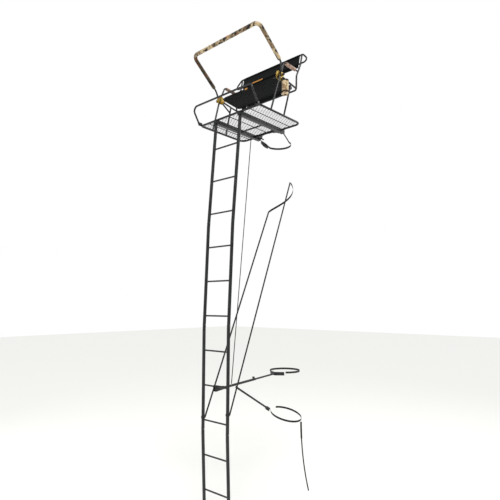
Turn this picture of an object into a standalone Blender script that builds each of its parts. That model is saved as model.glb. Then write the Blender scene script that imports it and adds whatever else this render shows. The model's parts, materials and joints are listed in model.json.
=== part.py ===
"""Two-person ladder tree stand: a sectional ladder, a platform with a sling seat, a fold-back footrest, a
flip-up shooting rail, a telescoping support bar and the webbing that ties them to a trunk.

Metres, +Z up. X runs across the stand, Y from the climber towards the trunk, Z = 0 is the ground under the
ladder's feet, and X = Y = 0 is the middle of the stand's footprint. The trunk is not part of the stand.
"""

from math import atan2, cos, pi, radians, sin, tan

import bmesh
import bpy
from mathutils import Matrix, Vector

# Ladder
RUNG_SPACING = 0.400
RUNGS_PER_SECTION = 3
RAIL_HALF_SPAN = 0.200
RAIL_R = 0.019
RAIL_BORE_R = 0.0168
RUNG_R = 0.0095
TOP_LEAN = radians(5.5)  # the top section's lean towards the trunk
JOINT_KINK = radians(2.4)  # each slip joint gives a little, so the ladder bows
FIRST_RUNG = 0.324  # below the top end of the top section
RUNG_TO_JOINT = 0.151
FOOT_LENGTH = 0.351  # below the last rung
SPIGOT_R = 0.0162
SPIGOT_LENGTH = 0.090
SECTION_NAMES = ("ladder_top", "ladder_upper_middle", "ladder_lower_middle", "ladder_bottom")

# Platform
FRONT_Y = -0.5309  # the platform's front edge
HALF_WIDTH = 0.485
DEPTH = 0.770
FRAME_R = 0.0125
BEAM_WIDTH = 0.050
BEAM_HEIGHT = 0.046
BEAM_DROP = 0.029  # the beams' centre line under the frame's
BEAM_FRONT = -0.033
BEAM_BACK = 0.790
CROSS_TUBE_Y = 0.440

# Seat, arms and back, from the middle of the platform's front edge
TUBE_R = 0.011
HUB_X, HUB_Y, HUB_Z = 0.505, 0.345, 0.445
HUB_PLATE_R = 0.058
CLAMP_PLATE_R = 0.026
PLATE = 0.004
PIVOT_R = 0.005
SEAT_HALF = 0.455
SEAT_R = 0.010
SEAT_PIVOT_Y, SEAT_PIVOT_Z = 0.655, 0.415
SEAT_BACK_Y, SEAT_BACK_Z = 0.690, 0.395
ARM_FRONT = (0.428, 0.634)
ARM_BACK = (0.697, 0.622)
ARM_PAD_R = 0.021
ARM_X = 0.498
LOOP_HIGH_HALF = 0.520
LOOP_LOW_HALF = 0.6323
LOOP_LOW = (0.756, 0.746)
LOOP_HIGH = (0.784, 0.868)
LOOP_R = 0.010

# Shooting rail and footrest
SHOOTING_X = 0.528
SHOOTING_BEND_X = 0.548
SHOOTING_BEND = (0.312, 0.577)
SHOOTING_TOP = (-0.081, 0.883)
SHOOTING_TOP_X = 0.541
RAIL_PAD_R = 0.023
FOOTREST_X = 0.485
FOOTREST_PIVOT = (-0.030, 0.012)
FOOTREST_KNEE = (-0.118, 0.150)
FOOTREST_TOP = (-0.114, 0.206)
FOOTREST_TOP_X = 0.462
FOOTREST_TAIL = 0.010  # how far the tube runs past its pivot
STOP_REACH = 0.022  # from the pivot up the arm, past the sweep of the tail's corners
STOP_LENGTH = 0.012

# Support bar and trunk
BAR_START = (-0.236, -3.209)
BAR_TILT = radians(3.7)
BAR_OUTER_R = 0.0145
BAR_BORE_R = 0.0116
BAR_OUTER_LENGTH = 0.710
BAR_INNER_START = 0.540
BAR_INNER_END = 1.090
WEB_WIDTH = 0.025
WEB_THICK = 0.003
CORD_R = 0.005

GAP = 0.0003
LAP = 0.020  # how far a cutter or a joined tube runs past its mate


def trunk(z):
    """The trunk's centre Y and radius at a height z from the platform."""
    return 0.944 - 0.040 * z, 0.160 - 0.011 * z


# Scene and materials


def clear_scene():
    for obj in list(bpy.data.objects):
        bpy.data.objects.remove(obj, do_unlink=True)


def new_collection(name):
    collection = bpy.data.collections.new(name)
    bpy.context.scene.collection.children.link(collection)
    return collection


def new_material(name, colour, roughness, metallic=0.0):
    material = bpy.data.materials.new(name)
    material.use_nodes = True
    shader = material.node_tree.nodes["Principled BSDF"]
    shader.inputs["Base Color"].default_value = (*colour, 1.0)
    shader.inputs["Roughness"].default_value = roughness
    shader.inputs["Metallic"].default_value = metallic
    return material


clear_scene()
STAND = new_collection("ladder_tree_stand")
CUTTERS = new_collection("cutters")
BLACK = new_material("black_powder_coat", (0.022, 0.026, 0.025), 0.45)
YELLOW_ZINC = new_material("yellow_zinc", (0.62, 0.47, 0.12), 0.35, 1.0)
STEEL = new_material("zinc_plated_steel", (0.55, 0.56, 0.57), 0.35, 1.0)
PLASTIC = new_material("black_plastic", (0.02, 0.02, 0.02), 0.5)
CAMO = new_material("camouflage_foam", (0.30, 0.21, 0.13), 0.9)
SLING = new_material("black_sling_fabric", (0.012, 0.015, 0.016), 0.9)
WEBBING = new_material("black_webbing", (0.03, 0.033, 0.03), 0.85)


# Shapes


def at(x, y, z):
    """A point given from the middle of the platform's front edge."""
    return Vector((x, FRONT_Y + y, PLATFORM_Z + z))


def link(name, data, material, collection=None):
    obj = bpy.data.objects.new(name, data)
    (collection or STAND).objects.link(obj)
    if material:
        data.materials.append(material)
    if collection is CUTTERS:
        obj.hide_render = True
        obj.display_type = "WIRE"
    return obj


def bent(corners, radius, steps=4, closed=False):
    """The points of a path through the corners, each one rounded to the radius."""
    points = []
    count = len(corners)
    for i, corner in enumerate(corners):
        if not closed and i in (0, count - 1):
            points.append(corner.copy())
            continue
        to_last = (corners[i - 1] - corner).normalized()
        to_next = (corners[(i + 1) % count] - corner).normalized()
        turn = pi - to_last.angle(to_next)
        if turn < radians(2):
            points.append(corner.copy())
            continue
        room = 0.48 * min((corners[i - 1] - corner).length, (corners[(i + 1) % count] - corner).length)
        back = min(radius * tan(turn / 2), room)
        arc_r = back / tan(turn / 2)
        centre = corner + (to_last + to_next).normalized() * (arc_r / cos(turn / 2))
        start = corner + to_last * back - centre
        axis = start.cross(corner + to_next * back - centre).normalized()
        parts = max(2, round(steps * turn / (pi / 2)))
        for k in range(parts + 1):
            points.append(centre + Matrix.Rotation(turn * k / parts, 3, axis) @ start)
    return points


def tube(name, points, radius, material=BLACK, sides=10, closed=False, collection=None):
    """A round bar along the points: a polyline curve with a round bevel and filled ends."""
    curve = bpy.data.curves.new(name, "CURVE")
    curve.dimensions = "3D"
    curve.bevel_depth = radius
    curve.bevel_resolution = sides // 2 - 2
    curve.use_fill_caps = not closed
    spline = curve.splines.new("POLY")
    spline.points.add(len(points) - 1)
    for point, place in zip(spline.points, points):
        point.co = (*place, 1.0)
    spline.use_cyclic_u = closed
    spline.use_smooth = True
    return link(name, curve, material, collection)


def strip(name, points, width, thickness, material=WEBBING, tilt=0.0):
    """A flat strap along the points: a polyline curve extruded to its width and bevelled to its thickness."""
    obj = tube(name, points, thickness / 2, material)
    obj.data.bevel_resolution = 0
    obj.data.extrude = (width - thickness) / 2
    obj.data.twist_mode = "Z_UP"
    for point in obj.data.splines[0].points:
        point.tilt = tilt
    return obj


def meshed(obj):
    """The object as a mesh with welded caps, so that it can be joined or cut."""
    bpy.context.view_layer.update()
    graph = bpy.context.evaluated_depsgraph_get()
    data = bpy.data.meshes.new_from_object(obj.evaluated_get(graph))
    work = bmesh.new()
    work.from_mesh(data)
    bmesh.ops.remove_doubles(work, verts=work.verts, dist=0.00001)
    bmesh.ops.recalc_face_normals(work, faces=work.faces)
    work.to_mesh(data)
    work.free()
    name, place, collection = obj.name, obj.matrix_world.copy(), obj.users_collection[0]
    bpy.data.objects.remove(obj, do_unlink=True)
    made = link(name, data, None, collection)
    made.matrix_world = place
    return made


def rod(name, start, end, radius, material=BLACK, sides=12, collection=None):
    """A straight round bar between two points."""
    work = bmesh.new()
    bmesh.ops.create_cone(
        work, cap_ends=True, segments=sides, radius1=radius, radius2=radius, depth=(end - start).length
    )
    turn = (end - start).to_track_quat("Z", "Y").to_matrix().to_4x4()
    work.transform(Matrix.Translation((start + end) / 2) @ turn)
    data = bpy.data.meshes.new(name)
    work.to_mesh(data)
    work.free()
    return link(name, data, material, collection)


def block(name, centre, size, material=BLACK, turn=None, collection=None):
    """A box of a size about a centre."""
    work = bmesh.new()
    bmesh.ops.create_cube(work, size=1.0)
    work.transform(Matrix.Translation(centre) @ (turn or Matrix.Identity(4)) @ Matrix.Diagonal((*size, 1.0)))
    data = bpy.data.meshes.new(name)
    work.to_mesh(data)
    work.free()
    return link(name, data, material, collection)


def slab(name, outline, thickness, place, material=BLACK, collection=None, holes=()):
    """A flat plate: closed outlines in its own plane, the holes among them, extruded to its thickness."""
    curve = bpy.data.curves.new(name, "CURVE")
    curve.dimensions = "2D"
    curve.fill_mode = "BOTH"
    curve.extrude = thickness / 2
    for loop in (outline, *holes):
        spline = curve.splines.new("POLY")
        spline.points.add(len(loop) - 1)
        for point, (x, y) in zip(spline.points, loop):
            point.co = (x, y, 0.0, 1.0)
        spline.use_cyclic_u = True
    obj = link(name, curve, material, collection)
    obj.matrix_world = place
    return meshed(obj)


def circle(radius, sides=24, centre=(0.0, 0.0)):
    return [
        (centre[0] + radius * cos(2 * pi * k / sides), centre[1] + radius * sin(2 * pi * k / sides))
        for k in range(sides)
    ]


def boolean(target, tool, operation):
    """One live Boolean. The tool moves to the cutters, hidden from the render."""
    for collection in tool.users_collection:
        collection.objects.unlink(tool)
    CUTTERS.objects.link(tool)
    tool.hide_render = True
    tool.display_type = "WIRE"
    modifier = target.modifiers.new(operation.lower(), "BOOLEAN")
    modifier.operation = operation
    modifier.solver = "EXACT"
    modifier.object = tool


def join(target, *tools):
    for tool in tools:
        boolean(target, tool, "UNION")
    return target


def cut(target, *tools):
    for tool in tools:
        boolean(target, tool, "DIFFERENCE")
    return target


def cross_hole(name, centre, radius, half_length=0.03):
    """A cutter for a hole along X."""
    reach = Vector((half_length, 0, 0))
    return rod(name, centre - reach, centre + reach, radius, None, 16, CUTTERS)


def saddle(name, points, radius, closed=False):
    """A cutter that copes a tube's end to the tube that it is welded to."""
    return meshed(tube(name, points, radius / cos(pi / 12) + GAP, None, 12, closed, CUTTERS))


def side_name(side):
    return "left" if side < 0 else "right"


# Ladder: four sections, each slipped over the spigot of the one below


def section_lengths():
    run = RUNG_SPACING * (RUNGS_PER_SECTION - 1)
    below = RUNG_SPACING - RUNG_TO_JOINT
    middle = below + run + RUNG_TO_JOINT
    return [FIRST_RUNG + run + RUNG_TO_JOINT, middle, middle, below + run + FOOT_LENGTH]


LEANS = [TOP_LEAN - k * JOINT_KINK for k in range(4)]
LADDER_TOP_Y = -0.012
LADDER_TOP_Z = -(BEAM_DROP + BEAM_HEIGHT / 2 + GAP)
PLATFORM_Z = -LADDER_TOP_Z + sum(length * cos(lean) for length, lean in zip(section_lengths(), LEANS))


def ladder():
    """Rails of round tube with welded rungs. A section's swaged spigots run up into the rails above."""
    top = at(0, LADDER_TOP_Y, LADDER_TOP_Z)
    above = None
    for k, (name, length, lean) in enumerate(zip(SECTION_NAMES, section_lengths(), LEANS)):
        down = Vector((0, -sin(lean), -cos(lean)))
        foot = top + down * length
        last = k == 3
        first_rung = FIRST_RUNG if k == 0 else RUNG_SPACING - RUNG_TO_JOINT
        shoulder = top + down * (0.0022 if k == 0 else 0.0015)
        rails = []
        tools = []
        bores = []
        for side in (-1, 1):
            across = Vector((side * RAIL_HALF_SPAN, 0, 0))
            end = foot + down * (LAP if last else 0.0)
            rails.append(rod(f"{name}_rail_{side}", shoulder + across, end + across, RAIL_R, BLACK, 16))
            bore_top = top - down * LAP if k == 0 else top + down * 0.030
            bore_end = foot - down * 0.060 if last else foot + down * LAP
            bores.append(rod("bore", bore_top + across, bore_end + across, RAIL_BORE_R, None, 16, CUTTERS))
            if above:
                spigot_end = top - above * SPIGOT_LENGTH
                spigot_top = top + above * LAP + across
                tools.append(rod("spigot", spigot_top, spigot_end + across, SPIGOT_R, None, 16))
                bolt_at = top - above * SPIGOT_LENGTH / 2 + across
                bores.append(cross_hole("bolt_hole", bolt_at, PIVOT_R * 0.92))
            if not last:
                bolt_at = foot - down * SPIGOT_LENGTH / 2 + across
                bores.append(cross_hole("bolt_hole", bolt_at, PIVOT_R * 0.92))
                ladder_bolt(f"ladder_bolt_{k + 1}_{side_name(side)}", bolt_at, side)
            if last:
                drain = foot - down * 0.075 + across
                bores.append(rod("drain_hole", drain, drain + Vector((0, 0.03, 0)), 0.004, None, 12, CUTTERS))
        for rung in range(RUNGS_PER_SECTION):
            centre = top + down * (first_rung + RUNG_SPACING * rung)
            reach = Vector((RAIL_HALF_SPAN - RAIL_BORE_R * 0.4, 0, 0))
            tools.append(rod("rung", centre - reach, centre + reach, RUNG_R, None, 12))
        section = join(rails[0], rails[1], *tools)
        section.name = name
        if last:
            centre = Vector((0, foot.y, -LAP))
            bores.append(block("ground", centre, (1.0, 0.3, 2 * LAP), None, None, CUTTERS))
        cut(section, *bores)
        top, above = foot, down


def ladder_bolt(name, centre, side):
    """A bolt across a rail at a slip joint: hexagonal head outside, nut inside."""
    axis = Vector((side, 0, 0))
    shank_r, head_r, head, reach = 0.004, 0.0075, 0.005, RAIL_R + GAP
    bolt = rod(name, centre - axis * (reach + head), centre + axis * (reach + head / 2), shank_r, STEEL, 12)
    join(
        bolt,
        rod("bolt_head", centre + axis * reach, centre + axis * (reach + head), head_r, STEEL, 6),
        rod("bolt_nut", centre - axis * (reach + head * 0.8), centre - axis * reach, head_r, STEEL, 6),
    )


# Platform


def platform_frame():
    """The welded frame: an edge tube open at the trunk, two beams over the ladder's rails, ears and stubs."""
    gap_half = RAIL_HALF_SPAN
    corners = [
        at(-gap_half, DEPTH, 0),
        at(-HALF_WIDTH, DEPTH, 0),
        at(-HALF_WIDTH, 0, 0),
        at(HALF_WIDTH, 0, 0),
        at(HALF_WIDTH, DEPTH, 0),
        at(gap_half, DEPTH, 0),
    ]
    rear = bent(corners[:3], 0.070)[:-1]
    front = bent(corners[1:5], 0.030)[1:-1]
    right = bent(corners[3:], 0.070)[1:]
    frame = meshed(tube("platform_frame", rear + front + right, FRAME_R, BLACK, 12))
    parts = []
    cuts = []
    length = BEAM_BACK - BEAM_FRONT
    for side in (-1, 1):
        x = side * RAIL_HALF_SPAN
        middle = at(x, (BEAM_BACK + BEAM_FRONT) / 2, -BEAM_DROP)
        parts.append(block("beam", middle, (BEAM_WIDTH, length, BEAM_HEIGHT)))
        up = Vector((0, sin(TOP_LEAN), cos(TOP_LEAN)))
        stub = at(x, LADDER_TOP_Y, LADDER_TOP_Z)
        parts.append(rod("ladder_stub", stub + up * 0.015, stub - up * SPIGOT_LENGTH, SPIGOT_R, BLACK, 16))
        ear_x = side * (FOOTREST_X - TUBE_R - 0.0035)
        pivot_y, pivot_z = FOOTREST_PIVOT
        parts.append(block("ear", at(ear_x, pivot_y + 0.002, pivot_z), (0.005, 0.064, 0.042)))
        cuts.append(cross_hole("ear_hole", at(ear_x, pivot_y, pivot_z), 0.0046, 0.008))
        lean = atan2(FOOTREST_KNEE[1] - pivot_z, pivot_y - FOOTREST_KNEE[0])
        along = Vector((0, -cos(lean), sin(lean)))
        outward = Vector((0, -sin(lean), -cos(lean)))
        stop = at(ear_x + side * 0.008, pivot_y, pivot_z) + along * STOP_REACH + outward * (TUBE_R + 0.0025)
        stop_turn = Matrix.Rotation(pi / 2 - lean, 4, "X")
        parts.append(block("stop", stop, (0.021, 0.004, STOP_LENGTH), turn=stop_turn))
    cross_end = Vector((HALF_WIDTH, 0, 0))
    cross = at(0, CROSS_TUBE_Y, -BEAM_DROP + 0.006)
    parts.append(rod("cross_tube", cross - cross_end * 0.47, cross + cross_end * 0.47, 0.010))
    join(frame, *parts)
    cut(frame, *cuts)


def floor_grid():
    """The step surface inside the edge tube: a lattice of flat wires on three rods."""
    half_x = HALF_WIDTH - FRAME_R - 0.0008
    y0, y1 = FRAME_R + 0.0008, DEPTH - FRAME_R - 0.0008
    across, along = 9, 7
    work = bmesh.new()
    bmesh.ops.create_grid(work, x_segments=across, y_segments=along, size=0.5)
    place = Matrix.Translation(at(0, (y0 + y1) / 2, -0.0032))
    work.transform(place @ Matrix.Diagonal((2 * half_x, y1 - y0, 1.0, 1.0)))
    rear_y = at(0, y1, 0).y - (y1 - y0) / along
    side_x = half_x - 2 * half_x / across
    corners = [
        f for f in work.faces if f.calc_center_median().y > rear_y and abs(f.calc_center_median().x) > side_x
    ]
    bmesh.ops.delete(work, geom=corners, context="FACES")
    before = set(work.faces)
    bmesh.ops.inset_individual(work, faces=list(before), thickness=0.003)
    inner = [f for f in work.faces if f.is_valid and abs(f.calc_area() - cell_area(half_x, y1 - y0)) < 0.0001]
    bmesh.ops.delete(work, geom=inner, context="FACES")
    data = bpy.data.meshes.new("floor_grid")
    work.to_mesh(data)
    work.free()
    grid = link("floor_grid", data, BLACK)
    solid = grid.modifiers.new("wire", "SOLIDIFY")
    solid.thickness = 0.0036
    solid.offset = 0.0
    left, right = [at(-HALF_WIDTH, y, 0) for y in (DEPTH, 0)], [at(HALF_WIDTH, y, 0) for y in (0, DEPTH)]
    path = bent(left + right, 0.030)
    for x in (-0.340, 0.0, 0.340):
        join(grid, rod("floor_rod", at(x, y0, -0.0075), at(x, y1, -0.0075), 0.0045, BLACK, 8))
    cut(grid, saddle("edge_saddle", path, FRAME_R))


def cell_area(half_x, deep):
    """The open area of one cell of the lattice."""
    return (2 * half_x / 9 - 0.006) * (deep / 7 - 0.006)


def tree_bracket():
    """A toothed crescent between the beams' rear ends, on an upright flat bar, which bites into the bark."""
    z = -BEAM_DROP
    half = RAIL_HALF_SPAN - BEAM_WIDTH / 2 - GAP
    teeth = 9
    tip_x, tip_y, bottom_y = 0.165, 0.850, 0.700
    sagitta = tip_y - bottom_y
    radius = (tip_x**2 + sagitta**2) / (2 * sagitta)
    span = atan2(tip_x, radius - sagitta)
    outline = [(-half, DEPTH - 0.105), (half, DEPTH - 0.105), (half, tip_y - 0.015)]
    for k in range(teeth * 2 + 1):
        angle = span * (1 - k / teeth)
        r = radius + (0.0 if k % 2 else 0.011)
        outline.append((r * sin(angle) * 0.96, bottom_y + radius - r * cos(angle)))
    outline.append((-half, tip_y - 0.015))
    bracket = slab("tree_bracket", outline, 0.006, Matrix.Translation(at(0, 0, z)))
    bar = block("bracket_bar", at(0, DEPTH - 0.101, z - 0.002), (2 * half, 0.006, 0.030))
    join(bracket, bar)


# Side frames, hubs, seat and back


def seat_support_path():
    hub_end = Vector((0, SEAT_BACK_Y - HUB_Y, SEAT_BACK_Z - HUB_Z)).normalized() * 0.050
    return [
        at(-HUB_X, HUB_Y + hub_end.y, HUB_Z + hub_end.z),
        at(-HUB_X, SEAT_BACK_Y, SEAT_BACK_Z),
        at(HUB_X, SEAT_BACK_Y, SEAT_BACK_Z),
        at(HUB_X, HUB_Y + hub_end.y, HUB_Z + hub_end.z),
    ]


def side_frames():
    """The uprights of each side: front post, rear leg and the brace between them, coped where they meet."""
    support = seat_support_path()
    tube("seat_support", bent(support, 0.050), TUBE_R)
    for side in (-1, 1):
        name = side_name(side)
        edge = [at(side * HALF_WIDTH, 0.05, 0), at(side * HALF_WIDTH, 0.65, 0)]
        top = at(side * HUB_X, HUB_Y, HUB_Z)
        foot = at(side * HALF_WIDTH, 0.200, 0)
        up = (top - foot).normalized()
        knee = Vector((top.x, *(top - up * 0.075).yz))
        head = Vector((top.x, *(top + up * 0.016).yz))
        post = meshed(tube(f"front_post_{name}", bent([foot, knee, head], 0.30), TUBE_R))
        cut(post, saddle("edge_saddle", edge, FRAME_R), cross_hole("pivot_hole", top, PIVOT_R + 0.0006))

        leg_foot = at(side * HALF_WIDTH, 0.440, 0)
        share = 0.60
        leg_top = at(
            side * HUB_X, HUB_Y + (SEAT_BACK_Y - HUB_Y) * share, HUB_Z + (SEAT_BACK_Z - HUB_Z) * share
        )
        leg = meshed(tube(f"rear_leg_{name}", [leg_foot, leg_top], TUBE_R))
        rail = support[:2] if side < 0 else support[2:]
        cut(leg, saddle("edge_saddle", edge, FRAME_R), saddle("support_saddle", rail, TUBE_R))

        meet = leg_foot.lerp(leg_top, 0.80)
        start = top + (meet - top).normalized() * 0.052
        brace = meshed(tube(f"side_brace_{name}", [start, meet], SEAT_R))
        cut(brace, saddle("leg_saddle", [leg_foot, leg_top], TUBE_R))


def hubs():
    """Two yellow zinc plates on one bolt clamp the tubes that meet at each front corner of the seat."""
    for side in (-1, 1):
        name = side_name(side)
        centre = at(side * HUB_X, HUB_Y, HUB_Z)
        out = Vector((side, 0, 0))
        turn = Matrix.Rotation(pi / 2, 4, "Y")
        offset = TUBE_R + 0.0015 + PLATE / 2
        reach = SHOOTING_X - HUB_X + TUBE_R + 0.0005 + PLATE / 2
        for word, shift, radius in (("inner", -offset, HUB_PLATE_R), ("outer", reach, CLAMP_PLATE_R)):
            place = Matrix.Translation(centre + out * shift) @ turn
            hole = circle(PIVOT_R + 0.0006, 16)
            plate = slab(f"hub_plate_{word}_{name}", circle(radius), PLATE, place, YELLOW_ZINC, None, [hole])
            if word == "inner":
                shelf_x = SEAT_HALF + (HUB_X - offset - SEAT_HALF) / 2
                drop = (SEAT_PIVOT_Z - HUB_Z) / (SEAT_PIVOT_Y - HUB_Y)
                shelf_y = HUB_Y + 0.042
                shelf_z = HUB_Z + drop * 0.042 - SEAT_R - 0.0030
                size = (HUB_X - offset - SEAT_HALF + 0.012, 0.020, PLATE)
                join(plate, block("seat_shelf", at(side * (shelf_x - 0.004), shelf_y, shelf_z), size))
        knob_bolt(f"clamp_knob_{name}", centre, out)


def knob_bolt(name, centre, out):
    """The bolt through a hub and the shooting rail's eye, with its moulded four-lobed knob outside."""
    inner = TUBE_R + PLATE + 0.0019
    face = SHOOTING_X - HUB_X + TUBE_R + PLATE + 0.0009
    bolt = rod(name, centre - out * (inner + 0.007), centre + out * (face + 0.010), PIVOT_R, PLASTIC, 16)
    lobes = [
        (0.0145 * (1 + 0.16 * cos(4 * a)) * cos(a), 0.0145 * (1 + 0.16 * cos(4 * a)) * sin(a))
        for a in (2 * pi * k / 32 for k in range(32))
    ]
    place = Matrix.Translation(centre + out * (face + 0.0125)) @ Matrix.Rotation(pi / 2, 4, "Y")
    join(
        bolt,
        rod("bolt_head", centre - out * (inner + 0.006), centre - out * inner, 0.009, None, 6),
        rod("knob_neck", centre + out * face, centre + out * (face + 0.008), 0.009, None, 16),
        slab("knob_head", lobes, 0.015, place, None),
    )


def seat():
    """A rounded tube frame that hinges in two clips on the support's rear tube, with a sling laced in it."""
    front = at(0, HUB_Y, HUB_Z)
    back = at(0, SEAT_PIVOT_Y, SEAT_PIVOT_Z)
    across = Vector((SEAT_HALF, 0, 0))
    corners = [front - across, front + across, back + across, back - across]
    tube("seat_frame", bent(corners, 0.040, 4, True), SEAT_R, BLACK, 10, True)
    deep = back - front
    inner = deep.normalized() * (SEAT_R + 0.0015)
    clip_room = deep.normalized() * 0.0085
    centre = (front + back - clip_room) / 2
    tilt = Matrix.Rotation(atan2(deep.z, deep.y), 4, "X")
    size = (2 * (SEAT_HALF - SEAT_R - 0.0015), deep.length - 2 * inner.length - clip_room.length, 0.006)
    half_x, half_y = size[0] / 2, size[1] / 2
    outline = rounded_outline(half_x, half_y, 0.030)
    slab("seat_sling", outline, size[2], Matrix.Translation(centre) @ tilt, SLING)

    axis = at(0, SEAT_PIVOT_Y, SEAT_PIVOT_Z)
    away = at(0, SEAT_BACK_Y, SEAT_BACK_Z) - axis
    turn = Matrix.Rotation(pi / 2, 4, "Z") @ Matrix.Rotation(pi / 2, 4, "X")
    for side in (-1, 1):
        outline = capsule(0.0165, (0.0, 0.0), (away.y, away.z))
        holes = [circle(SEAT_R + 0.0007, 20), circle(TUBE_R + 0.0006, 20, (away.y, away.z))]
        place = Matrix.Translation(axis + Vector((side * 0.300, 0, 0))) @ turn
        slab(f"seat_clip_{side_name(side)}", outline, 0.026, place, PLASTIC, None, holes)


def rounded_outline(half_x, half_y, radius, steps=4):
    """A rectangle with round corners, as points in its own plane."""
    points = []
    for quarter, (sx, sy) in enumerate(((1, 1), (-1, 1), (-1, -1), (1, -1))):
        for k in range(steps + 1):
            angle = pi / 2 * (quarter + k / steps)
            x = sx * (half_x - radius) + radius * cos(angle)
            points.append((x, sy * (half_y - radius) + radius * sin(angle)))
    return points


def capsule(radius, first, second, steps=10):
    """The outline of a bar with round ends from one point to another."""
    heading = atan2(second[1] - first[1], second[0] - first[0])
    points = []
    for (x, y), start in ((second, heading - pi / 2), (first, heading + pi / 2)):
        for k in range(steps + 1):
            angle = start + pi * k / steps
            points.append((x + radius * cos(angle), y + radius * sin(angle)))
    return points


def back_rest():
    """A racetrack loop of tube across two uprights, with a sling band laced in it."""
    low = at(0, *LOOP_LOW)
    high = at(0, *LOOP_HIGH)
    wide = Vector((LOOP_LOW_HALF, 0, 0))
    across = Vector((LOOP_HIGH_HALF, 0, 0))
    corners = [high - across, high + across, low + wide, low - wide]
    frame = meshed(tube("back_frame", bent(corners, 0.040, 5, True), LOOP_R, BLACK, 10, True))
    rise = (high - low).normalized()
    support = seat_support_path()
    for side in (-1, 1):
        x = side * HUB_X
        shift = Vector((x, 0, 0))
        upright = [at(x, 0.662, 0.399), at(x, 0.668, 0.560), low + shift - rise * 0.02, high + shift]
        join(frame, meshed(tube(f"upright_{side}", bent(upright, 0.080), TUBE_R * 0.98)))
    cut(frame, saddle("support_saddle", bent(support, 0.050), TUBE_R))
    tilt = Matrix.Rotation(atan2(rise.z, rise.y), 4, "X")
    half_x = HUB_X - TUBE_R - 0.0015
    half_y = (high - low).length / 2 - LOOP_R - 0.0015
    place = Matrix.Translation((low + high) / 2) @ tilt
    slab("back_sling", rounded_outline(half_x, half_y, 0.010, 2), 0.006, place, SLING)


def arms():
    """Armrests from the hubs back to the uprights, each in a foam sleeve."""
    for side in (-1, 1):
        name = side_name(side)
        front = at(side * ARM_X, *ARM_FRONT)
        hub = at(side * HUB_X, HUB_Y, HUB_Z)
        start = hub + (front - hub).normalized() * 0.034
        end = at(side * HUB_X, *ARM_BACK)
        path = bent([start, front, end], 0.035)
        rest = meshed(tube(f"armrest_{name}", path, SEAT_R))
        upright = [at(side * HUB_X, 0.668, 0.560), at(side * HUB_X, 0.7345, 0.7277)]
        cut(rest, saddle("upright_saddle", upright, TUBE_R + 0.0012))
        along = (end - front).normalized()
        sleeve(f"arm_pad_{name}", [front + along * 0.026, end - along * 0.052], SEAT_R + 0.0008, ARM_PAD_R)


def sleeve(name, points, inner, outer):
    """A foam sleeve along a path: an open tube with its wall turned inwards."""
    obj = tube(name, points, outer, CAMO, 12)
    obj.data.use_fill_caps = False
    obj = meshed(obj)
    wall = obj.modifiers.new("wall", "SOLIDIFY")
    wall.thickness = outer - inner
    wall.offset = -1.0
    wall.use_even_offset = False
    return obj


def shooting_rail():
    """The padded rail: a U of tube on the clamp bolts, bent forward above the hubs."""
    points = []
    for side in (-1, 1):
        arm = [
            at(side * SHOOTING_X, HUB_Y + 0.004, HUB_Z - 0.018),
            at(side * SHOOTING_X, HUB_Y - 0.010, HUB_Z + 0.042),
            at(side * SHOOTING_BEND_X, *SHOOTING_BEND),
            at(side * SHOOTING_TOP_X, *SHOOTING_TOP),
        ]
        points += arm if side < 0 else arm[::-1]
    rail = meshed(tube("shooting_rail", bent(points, 0.070, 5), TUBE_R, BLACK, 12))
    for side in (-1, 1):
        eye = at(side * SHOOTING_X, HUB_Y, HUB_Z)
        cut(rail, cross_hole("eye_hole", eye, PIVOT_R + 0.0006, 0.06))
    left, right = points[2].lerp(points[3], 0.07), points[5].lerp(points[4], 0.07)
    sleeve("rail_pad", bent([left, points[3], points[4], right], 0.070, 5), TUBE_R + 0.0008, RAIL_PAD_R)


def footrest():
    """A U of tube hinged on the ears at the platform's front corners. It folds back over the floor."""
    pivot_y, pivot_z = FOOTREST_PIVOT
    points = []
    for side in (-1, 1):
        knee = at(side * FOOTREST_X, *FOOTREST_KNEE)
        pivot = at(side * FOOTREST_X, pivot_y, pivot_z)
        tail = pivot + (pivot - knee).normalized() * FOOTREST_TAIL
        arm = [tail, knee, at(side * FOOTREST_TOP_X, *FOOTREST_TOP)]
        points += arm if side < 0 else arm[::-1]
    rest = meshed(tube("footrest", bent(points, 0.055, 5), TUBE_R))
    for side in (-1, 1):
        pivot = at(side * FOOTREST_X, pivot_y, pivot_z)
        cut(rest, cross_hole("pivot_hole", pivot, 0.0046))
        out = Vector((side, 0, 0))
        reach = TUBE_R + GAP
        name = f"footrest_bolt_{side_name(side)}"
        bolt = rod(name, pivot - out * (reach + 0.012), pivot + out * (reach + 0.003), 0.004, STEEL, 12)
        join(
            bolt,
            rod("bolt_head", pivot + out * reach, pivot + out * (reach + 0.005), 0.0075, None, 6),
            rod("bolt_nut", pivot - out * (reach + 0.011), pivot - out * (reach + 0.0066), 0.0065, None, 6),
        )


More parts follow.
